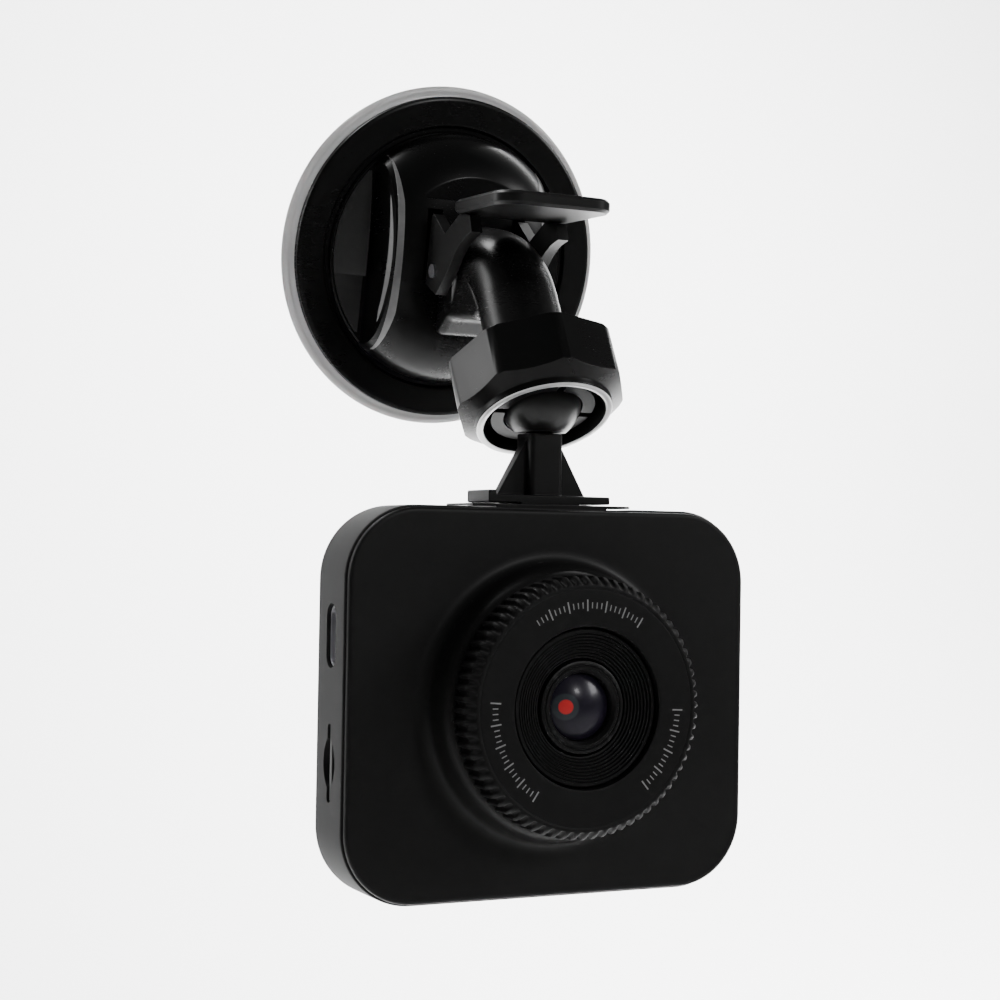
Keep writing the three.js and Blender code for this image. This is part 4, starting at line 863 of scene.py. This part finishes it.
def make_ball():
    flat, bore = BALL_R - 1.4, 2.2
    start = degrees(acos(flat / BALL_R))
    steps = 48
    profile = [(0, 2.0), (bore, 2.0), (bore, flat)]
    for i in range(steps + 1):
        a = radians(start + (180 - start) * i / steps)
        profile.append((BALL_R * sin(a), BALL_R * cos(a)))
    piece = link("ball_gloss", turned(profile, 96), HANGING)
    finish_piece(piece, "ball_core", "gloss_black", MATERIALS["ball_black"], "ball", angle=30)


# ---- Camera ----
ROUND = 288
WALL = 1.6
COVER_T = 1.15
COVER_INSET = 0.35
BACK_T = 1.5
BODY_D = 12.5
PLATE = BODY_D / 2
COVER_BORE = 13.5
SWELL = 5.5  # the height that the mound's outline is drawn at
# Where the painted glint sits on the lens glass, in millimetres from its middle.
GLINT_X, GLINT_Y = -2.6, 0.1
LUG_INSET, LUG_HALF, LUG_ENDS = 2.7, 0.6, (-56, -44)


def make_cover(sizes):
    """Satin front plate with the round mound that carries the ring."""
    w, h, r = BODY_W - 2 * COVER_INSET, BODY_H - 2 * COVER_INSET, mm(sizes, "corner") - COVER_INSET
    mound, rise = mm(sizes, "mound_radius"), mm(sizes, "mound_height")
    back = PLATE - COVER_T + 0.15

    def edge(inset, z):
        return rounded_loop(w - 2 * inset, h - 2 * inset, r - inset, z, ROUND)

    def ring(radius, z):
        turn = [2 * pi * (i + 0.5) / ROUND for i in range(ROUND)]
        return [(radius * cos(t), radius * sin(t), z) for t in turn]

    loops = [
        edge(0, back), edge(0, PLATE - 0.55), edge(0.06, PLATE - 0.3), edge(0.2, PLATE - 0.12),
        edge(0.45, PLATE - 0.03), edge(0.8, PLATE),
    ]
    swell = [
        (mound + 0.7, 0), (mound, 0.05), (mound - 0.6, 0.2), (mound - 1.1, 0.55), (mound - 1.45, 1.1),
        (mound - 1.7, 1.9), (mound - 1.95, 2.9), (mound - 2.2, 3.8), (mound - 2.5, 4.6),
        (mound - 2.9, 5.15), (mound - 3.4, 5.43), (mound - 3.9, SWELL),
    ]
    loops += [ring(radius, PLATE + z * rise / SWELL) for radius, z in swell]
    loops += [
        ring(COVER_BORE + 0.2, PLATE + rise), ring(COVER_BORE, PLATE + rise - 0.2), ring(COVER_BORE, back),
    ]
    piece = link("front_cover_satin", loft(loops, closed=True), ON_BODY)
    middle = mound - LUG_INSET
    lug = arc(middle + LUG_HALF, *LUG_ENDS, 12) + arc(middle - LUG_HALF, *LUG_ENDS[::-1], 12)
    combine(piece, "DIFFERENCE", outline_prism(lug, PLATE + rise - 1.6, PLATE + rise + 1), at=ON_BODY)
    finish_piece(piece, "camera", "satin_black", MATERIALS["satin_black"], "front_cover", angle=35)


def side_prism(points, x0, x1):
    """An outline in depth and height as a prism across x."""
    return loft([[(x, y, z) for z, y in points] for x in (x0, x1)])


def pill(w, h, x=0, y=0, steps=16):
    """A slot with round ends, longer along its second size."""
    r, reach = w / 2, h / 2 - w / 2
    return arc(r, 0, 180, steps, x, y + reach) + arc(r, 180, 360, steps, x, y - reach)


USB_Y, USB_W, USB_L = 10.0, 3.2, 9.0
CARD_Y, CARD_W, CARD_T = -8.7, 11.0, 1.0
NOTCH_H, NOTCH_W = 8.3, 4.6
KEY_NAMES = ["power", "menu", "up", "down", "record"]
KEY_ROW = "key_"
SCREEN_EDGE = 0.2
SPEAKER_X, SPEAKER_PITCH, SPEAKER_HOLE_R = -14, 2.2, 0.6
MICROPHONE_X, MICROPHONE_HOLE_R = 12, 0.45


def leaf(half, bulge, y):
    r = (half * half + bulge * bulge) / (2 * bulge)
    reach = degrees(asin(half / r))
    right = arc(r, -reach, reach, 16, -(r - bulge), y)
    left = arc(r, 180 - reach, 180 + reach, 16, r - bulge, y)
    return right[:-1] + left[:-1]


def node_hole(node, gap, z0, z1, r=None):
    """A rounded hole through the back, round a CAD node's own outline."""
    low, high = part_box(node)
    w, h = (high.x - low.x) / MM + 2 * gap, (high.z - low.z) / MM + 2 * gap
    x, y = (low.x + high.x) / 2 / MM, ((low.z + high.z) / 2 - LENS.z) / MM
    loops = [rounded_loop(w, h, r or min(w, h) / 2 - 0.01, z, 64, x, y) for z in (z0, z1)]
    return loft(loops)


def make_case(sizes):
    """Dark grey case: the side band and the back, with its sockets and openings."""
    r = mm(sizes, "corner")
    front = PLATE - COVER_T - 0.05

    def edge(inset, z):
        return rounded_loop(BODY_W - 2 * inset, BODY_H - 2 * inset, r - inset, z, ROUND)

    loops = [
        edge(WALL, BACK + BACK_T), edge(WALL, front - 0.1), edge(WALL - 0.1, front), edge(0.28, front),
        edge(0.1, front - 0.06), edge(0, front - 0.25), edge(0, BACK + 1.3), edge(0.06, BACK + 0.85),
        edge(0.25, BACK + 0.45), edge(0.55, BACK + 0.18), edge(0.95, BACK + 0.04), edge(1.3, BACK),
    ]
    piece = link("case_grey_shell", loft(loops), ON_BODY)
    low_x = -BODY_W / 2
    combine(
        piece, "DIFFERENCE",
        side_prism(pill(USB_W + 0.5, USB_L + 0.5, 0, USB_Y), low_x - 1, low_x + WALL + 1),
        side_prism(pill(CARD_T + 0.5, CARD_W + 0.6, 0, CARD_Y, 8), low_x - 1, low_x + WALL + 1),
        side_prism(leaf(NOTCH_H / 2, NOTCH_W / 2, CARD_Y), low_x - 1, low_x + 1.0),
        at=ON_BODY,
    )
    holes = [node_hole(KEY_ROW + name, -0.5, BACK - 1, BACK + BACK_T + 1) for name in KEY_NAMES]
    holes.append(node_hole("lcd_window", SCREEN_EDGE, BACK - 1, BACK + 1.1, 1.7))
    holes.append(node_hole("lcd_window", -1.0, BACK - 1, BACK + BACK_T + 1, 1.0))
    holes.append(node_hole("led_light_pipe", SCREEN_EDGE, BACK - 1, BACK + BACK_T + 1))
    holes += [node_hole("case_screw_%d" % i, 0.3, BACK - 1, BACK + 1.2) for i in range(1, 5)]
    low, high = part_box("mount_shoe")
    gap = 0.2
    holes.append(box(
        low.x / MM - gap, high.x / MM + gap, (low.z - LENS.z) / MM - gap, BODY_H,
        BACK - 1, (LENS.y - low.y) / MM + gap,
    ))
    combine(piece, "DIFFERENCE", *holes, at=ON_BODY)
    holes = [(SPEAKER_X + SPEAKER_PITCH * i, SPEAKER_HOLE_R) for i in (-2, -1, 0, 1, 2)]
    holes.append((MICROPHONE_X, MICROPHONE_HOLE_R))
    for x, hole_r in holes:
        way = turned([(0, -3), (hole_r, -3), (hole_r, 3), (0, 3)], 24)
        bmesh.ops.translate(way, verts=way.verts, vec=(x, 0, -BODY_H / 2))
        combine(piece, "DIFFERENCE", way, at=place(LENS, (0, 0, 1)))
    finish_piece(piece, "camera", "case_grey", MATERIALS["case_grey"], "case_shell", angle=35)


RING_BACK = 12.05
SLEEVE_R = 13.2
SLEEVE_BACK = 8.65
TOOTH_DEPTH = 0.62
FACE_SUNK = 0.1


def make_ring(sizes):
    """Knurled ring: rounded ribs down its side that run out over the front edge."""
    teeth, face_r, bore = sizes.teeth, mm(sizes, "ring_face"), mm(sizes, "ring_bore")
    each = 8
    count = teeth * each
    ribs = [0.0, 0.0, 0.12, 0.75, 1.0, 1.0, 0.75, 0.12]
    face = RING_FACE - FACE_SUNK

    def loop(radius, z, depth=0.0):
        turn = [2 * pi * i / count for i in range(count)]
        return [
            ((radius - depth * ribs[i % each]) * cos(t), (radius - depth * ribs[i % each]) * sin(t), z)
            for i, t in enumerate(turn)
        ]

    loops = [
        loop(bore, SLEEVE_BACK), loop(SLEEVE_R, SLEEVE_BACK), loop(SLEEVE_R, RING_BACK),
        loop(RING_R - 0.5, RING_BACK, 0.3), loop(RING_R, RING_BACK + 0.3, TOOTH_DEPTH),
        loop(RING_R, face - 1.75, TOOTH_DEPTH), loop(RING_R - 0.08, face - 1.45, TOOTH_DEPTH),
        loop(RING_R - 0.45, face - 0.75, TOOTH_DEPTH), loop(face_r + 0.42, face - 0.22, 0.42),
        loop(face_r + 0.1, face - 0.06, 0.12), loop(face_r - 0.1, face), loop(face_r - 0.5, face),
        loop(face_r - 0.6, face - 0.07), loop(face_r - 0.72, face - 0.07), loop(face_r - 0.82, face),
        loop(bore + 0.5, face), loop(bore + 0.12, face - 0.12), loop(bore, face - 0.4),
    ]
    piece = link("ring_knurled", loft(loops, closed=True), ON_BODY)
    finish_piece(piece, "lens_ring", "satin_black", MATERIALS["ring_black"], "focus_ring", angle=38)


MARK_ARCS = [(56, 124), (176, 236), (-50, -2)]
MARK_R = 15.1
MARK_STEP = 2.9
LONG_MARK, SHORT_MARK = (0.85, 0.11), (0.45, 0.085)  # half a tick's length and half its thickness


def make_ring_marks():
    """Three arcs of plain scale ticks printed on the ring's face."""
    face = RING_FACE - FACE_SUNK
    bm = bmesh.new()
    for start, end in MARK_ARCS:
        count = int((end - start) / MARK_STEP)
        for i in range(count + 1):
            a = radians(start + (end - start) * i / count)
            half, thick = LONG_MARK if i % 4 == 0 else SHORT_MARK
            corners = []
            for z in (face - 0.05, face + 0.02):
                for u, v in ((-half, -thick), (half, -thick), (half, thick), (-half, thick)):
                    reach = MARK_R + u
                    x, y = reach * cos(a) - v * sin(a), reach * sin(a) + v * cos(a)
                    corners.append(bm.verts.new((x, y, z)))
            low, high = corners[:4], corners[4:]
            bm.faces.new(low[::-1])
            bm.faces.new(high)
            for k in range(4):
                bm.faces.new((low[k], low[(k + 1) % 4], high[(k + 1) % 4], high[k]))
    piece = link("ring_marks", bm, ON_BODY)
    finish_piece(piece, "lens_ring", "soft_cup", MATERIALS["print"], weighted=False)


BEZEL_FACE = 16.5
BEZEL_INNER = 7.3
BEZEL_BACK = 12.35
BEZEL_DROP = 1.4
LENS_EDGE = 4.9


def make_bezel(sizes):
    """Stepped funnel round the lens, cut with fine concentric grooves."""
    outer = mm(sizes, "ring_bore") - 0.3
    steps = 8
    pitch = (outer - 0.6 - BEZEL_INNER) / steps
    profile = [
        (BEZEL_INNER, BEZEL_BACK), (outer, BEZEL_BACK), (outer, BEZEL_FACE - 0.15),
        (outer - 0.15, BEZEL_FACE),
    ]
    for i in range(steps):
        r = outer - 0.6 - i * pitch
        z = BEZEL_FACE - BEZEL_DROP * i / steps
        drop = BEZEL_DROP / steps
        profile += [(r, z), (r - 0.05, z - 0.16 - drop), (r - 0.2, z - 0.16 - drop), (r - 0.26, z - drop)]
    profile.append((BEZEL_INNER, BEZEL_FACE - BEZEL_DROP - 0.05))
    piece = link("bezel_stepped", turned(profile, 160, closed=True), ON_BODY)
    finish_piece(piece, "camera", "satin_black", MATERIALS["ring_black"], "lens_bezel", angle=30)


BARREL_FACE = 15.45
BARREL_R = 6.9
BARREL_BACK = 2.5
GLASS_BACK, GLASS_FRONT, GLASS_SAG = 12.45, 14.05, 1.5


def make_lens():
    """Barrel with its own fine rings, and the domed front glass."""
    lens_seat = LENS_EDGE + 0.15
    profile = [
        (3.0, BARREL_BACK), (6.0, BARREL_BACK), (6.0, 8.9), (BARREL_R, 9.1), (BARREL_R, BARREL_FACE - 0.3),
        (BARREL_R - 0.1, BARREL_FACE - 0.08), (BARREL_R - 0.3, BARREL_FACE), (6.35, BARREL_FACE),
        (6.25, BARREL_FACE - 0.14), (6.1, BARREL_FACE - 0.14), (6.0, BARREL_FACE), (5.6, BARREL_FACE),
        (lens_seat + 0.1, BARREL_FACE - 0.5), (lens_seat, BARREL_FACE - 0.7), (lens_seat, 11.85),
        (4.2, 11.85), (4.2, 7.0), (3.0, 7.0),
    ]
    barrel = link("barrel_rings", turned(profile, 128, closed=True), ON_BODY)
    finish_piece(barrel, "camera", "satin_black", MATERIALS["mount_satin"], "lens_barrel", angle=30)
    steps = 24
    dome = [(0, GLASS_BACK - 0.2), (LENS_EDGE, GLASS_BACK), (LENS_EDGE, GLASS_FRONT)]
    for i in range(1, steps + 1):
        share = 1 - i / steps
        dome.append((LENS_EDGE * share, GLASS_FRONT + GLASS_SAG * (1 - share ** 2)))
    glass = link("front_glass", turned(dome, 128), ON_BODY)
    finish_piece(glass, "camera", "lens_glass", MATERIALS["lens_glass"], "front_lens", angle=50)


REFINED = [
    ("lever_body", "lock_lever", 0.3, "lever", "satin_black", "mount_satin"),
    ("stud_body", "foot_stud", 0.22, "stud", "satin_black", "mount_satin"),
    ("shoe_body", "mount_shoe", 0.18, "camera", "satin_black", "mount_satin"),
    ("screen_glass", "lcd_window", 0.12, "camera", "screen", "screen"),
    ("socket_shell", "usb_socket", 0.08, "camera", "steel", "steel"),
    ("card_body", "memory_card", 0.1, "card", "chip", "chip"),
    ("light_window", "led_light_pipe", 0.08, "camera", "light_pipe", "light_pipe"),
]


def make_refined():
    """Pieces that keep the CAD shape, with their edges rounded."""
    rows = list(REFINED)
    for name in KEY_NAMES:
        rows.append((name + "_key_cap", KEY_ROW + name, 0.14, name + "_key", "satin_black", "mount_satin"))
    for i in range(1, 5):
        rows.append(("rear_screw_%d" % i, "case_screw_%d" % i, 0.08, "camera", "steel", "steel"))
    for name, cad, width, body, slot, material in rows:
        finish_piece(refined(name, cad, width), body, slot, MATERIALS[material], cad, angle=35)


# ---- Stage ----
EYE = Vector((-0.1336, -0.2645, 0.0235))  # from the lens centre
YAW, PITCH, ROLL = radians(25.64), radians(1.39), radians(0.93)
FOCAL = 68.9
FLOOR_DROP = 0.3  # metres from the camera's bottom down to the floor
FLOOR_FRONT, WALL_AT, CURVE_R, WALL_HIGH, FLOOR_HALF = -2.2, 1.5, 0.6, 2.2, 3
WORLD_LIGHT = 0.12
WORLD_SEEN = 1.4  # what the view itself sees of the world, over its light
LIT = Vector((0, 0.02, 0.045))  # what the panels face, from the lens centre
LIGHTS = [
    ("left panel", (-0.80, 0.50, 0.34), 0.30, 0.5, 4.0),
    ("top panel", (-0.30, 0.40, 0.87), 0.40, 0.25, 6.0),
    ("right panel", (0.80, -0.50, 0.36), 0.25, 0.32, 4.0),
    ("small front panel", (0.28, -0.87, 0.40), 0.12, 0.12, 2.0),
]
WASH_AT, WASH_FACES, WASH_POWER = Vector((0.75, 0.25, 0.5)), (0, 1.05, -0.6), 110.0


def make_camera():
    ahead = Vector((sin(YAW) * cos(PITCH), cos(YAW) * cos(PITCH), sin(PITCH)))
    right = Vector((cos(YAW), -sin(YAW), 0))
    up = right.cross(ahead)
    right, up = cos(ROLL) * right + sin(ROLL) * up, cos(ROLL) * up - sin(ROLL) * right
    data = bpy.data.cameras.new("view")
    data.lens = FOCAL
    data.sensor_width = 36
    data.clip_start = 0.01
    made = bpy.data.objects.new("view", data)
    bpy.context.scene.collection.objects.link(made)
    turn = Matrix((right, up, -ahead)).transposed().to_4x4()
    made.matrix_world = Matrix.Translation(LENS + EYE) @ turn
    bpy.context.scene.camera = made


def area_light(name, at, toward, width, height, power):
    data = bpy.data.lights.new(name, "AREA")
    data.shape = "RECTANGLE"
    data.size, data.size_y, data.energy = width, height, power
    made = bpy.data.objects.new(name, data)
    bpy.context.scene.collection.objects.link(made)
    made.location = Vector(at)
    made.rotation_euler = Vector(toward).to_track_quat("-Z", "Y").to_euler()
    made.visible_camera = False


def make_floor():
    """Pale floor that curves up into a wall behind."""
    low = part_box("case_shell")[0].z - FLOOR_DROP
    curve = WALL_AT - CURVE_R
    path = [(FLOOR_FRONT, low), (curve, low)]
    for degree in range(6, 91, 6):
        a = radians(degree)
        path.append((curve + CURVE_R * sin(a), low + CURVE_R - CURVE_R * cos(a)))
    path.append((WALL_AT, low + WALL_HIGH))
    bm = bmesh.new()
    rows = [[bm.verts.new((x, y, z)) for x in (-FLOOR_HALF, FLOOR_HALF)] for y, z in path]
    for a, b in zip(rows, rows[1:]):
        bm.faces.new((a[0], a[1], b[1], b[0]))
    floor = link("floor", bm, Matrix.Identity(4))
    for face in floor.data.polygons:
        face.use_smooth = True
    made, tree, shader = start_material("Pale floor")
    where = node(tree, "ShaderNodeTexCoord").outputs["Object"]
    pale = tint(tree, noise(tree, where, 3.0), (0.93, 0.93, 0.93), (0.95, 0.95, 0.95))
    tree.links.new(pale, shader.inputs["Base Color"])
    shader.inputs["Roughness"].default_value = 0.9
    shader.inputs["Specular IOR Level"].default_value = 0.1
    floor.data.materials.append(made)


def make_light():
    world = bpy.data.worlds.new("studio")
    bpy.context.scene.world = world
    world.use_nodes = True
    tree = world.node_tree
    seen = node(tree, "ShaderNodeLightPath").outputs["Is Camera Ray"]
    tree.nodes["Background"].inputs["Color"].default_value = (1, 1, 1, 1)
    amount = math_node(tree, "ADD", math_node(tree, "MULTIPLY", seen, WORLD_SEEN), WORLD_LIGHT)
    tree.links.new(amount, tree.nodes["Background"].inputs["Strength"])
    middle = LENS + LIT
    for name, offset, width, height, power in LIGHTS:
        area_light(name, middle + Vector(offset), -Vector(offset), width, height, power)
    area_light("backdrop wash", middle + WASH_AT, WASH_FACES, 1.1, 0.3, WASH_POWER)


# ---- Operators ----
class DASHCAM_OT_finishes(bpy.types.Operator):
    """Make the materials and give the inner pieces theirs"""
    bl_idname = "dashcam.finishes"
    bl_label = "Finishes"

    def execute(self, context):
        make_materials(context.scene.dashcam_finishes)
        finish_frame()
        return {"FINISHED"}


class DASHCAM_OT_suction_mount(bpy.types.Operator):
    """Build the suction cup and the glossy housing on it"""
    bl_idname = "dashcam.suction_mount"
    bl_label = "Suction cup and housing"

    def execute(self, context):
        sizes = context.scene.dashcam_mount
        make_suction_cup()
        make_housing(sizes)
        # Light grey strips on the spine's top edges: painted highlights, the left one wider at its low end.
        spine_highlight_strip(sizes, -1, -16.6, 16.4, lambda t: HIGHLIGHT_STRIP_W + 0.8 * (1 - t) ** 3)
        spine_highlight_strip(sizes, 1, 2.0, 16.0, lambda t: HIGHLIGHT_STRIP_W)
        # The scoop facets take a lighter black: painted light on the gloss black housing.
        scoop_facet(sizes, "scoop_upper_facet", -4.0, 13.6, 1.6, MATERIALS["scoop_painted_light"])
        scoop_facet(sizes, "scoop_lower_facet", -13.6, -4.0, 0.3, MATERIALS["scoop_painted_light"])
        return {"FINISHED"}


class DASHCAM_OT_arm_and_ball(bpy.types.Operator):
    """Build the cranked arm, the clamp nut and the ball"""
    bl_idname = "dashcam.arm_and_ball"
    bl_label = "Arm, nut and ball"

    def execute(self, context):
        sizes = context.scene.dashcam_mount
        make_arm(sizes)
        make_nut(sizes)
        make_ball()
        return {"FINISHED"}


class DASHCAM_OT_camera_case(bpy.types.Operator):
    """Build the front cover and the case"""
    bl_idname = "dashcam.camera_case"
    bl_label = "Camera case"

    def execute(self, context):
        sizes = context.scene.dashcam_camera
        make_cover(sizes)
        make_case(sizes)
        return {"FINISHED"}


class DASHCAM_OT_lens(bpy.types.Operator):
    """Build the knurled ring, its marks, the stepped bezel, the barrel and the glass"""
    bl_idname = "dashcam.lens"
    bl_label = "Ring and lens"

    def execute(self, context):
        sizes = context.scene.dashcam_camera
        make_ring(sizes)
        make_ring_marks()
        make_bezel(sizes)
        make_lens()
        return {"FINISHED"}


class DASHCAM_OT_small_pieces(bpy.types.Operator):
    """Round the edges of the lever, stud, shoe, keys, screws and sockets"""
    bl_idname = "dashcam.small_pieces"
    bl_label = "Lever, stud, keys and screws"

    def execute(self, context):
        make_refined()
        return {"FINISHED"}


class DASHCAM_OT_stage(bpy.types.Operator):
    """Make the floor, the light and the view"""
    bl_idname = "dashcam.stage"
    bl_label = "Stage"

    def execute(self, context):
        make_floor()
        make_light()
        make_camera()
        return {"FINISHED"}


OPERATORS = (
    DASHCAM_OT_finishes, DASHCAM_OT_suction_mount, DASHCAM_OT_arm_and_ball, DASHCAM_OT_camera_case,
    DASHCAM_OT_lens, DASHCAM_OT_small_pieces, DASHCAM_OT_stage,
)


class DASHCAM_PT_panel(bpy.types.Panel):
    """Sizes, finishes and pieces of the dash camera"""
    bl_label = "Dash camera"
    bl_space_type = "VIEW_3D"
    bl_region_type = "UI"
    bl_category = "Dash camera"

    def draw(self, context):
        scene = context.scene
        for sizes in (scene.dashcam_mount, scene.dashcam_camera, scene.dashcam_finishes):
            column = self.layout.column(align=True)
            for name in sizes.__annotations__:
                column.prop(sizes, name)
        for operator in OPERATORS:
            self.layout.operator(operator.bl_idname)


CLASSES = (MountSizes, CameraSizes, Finishes, *OPERATORS, DASHCAM_PT_panel)


def register():
    for item in CLASSES:
        bpy.utils.register_class(item)
    bpy.types.Scene.dashcam_mount = PointerProperty(type=MountSizes)
    bpy.types.Scene.dashcam_camera = PointerProperty(type=CameraSizes)
    bpy.types.Scene.dashcam_finishes = PointerProperty(type=Finishes)


def unregister():
    del bpy.types.Scene.dashcam_finishes
    del bpy.types.Scene.dashcam_camera
    del bpy.types.Scene.dashcam_mount
    for item in reversed(CLASSES):
        bpy.utils.unregister_class(item)


def main():
    register()
    for operator in OPERATORS:
        group, name = operator.bl_idname.split(".")
        getattr(getattr(bpy.ops, group), name)()


if __name__ == "__main__":
    main()
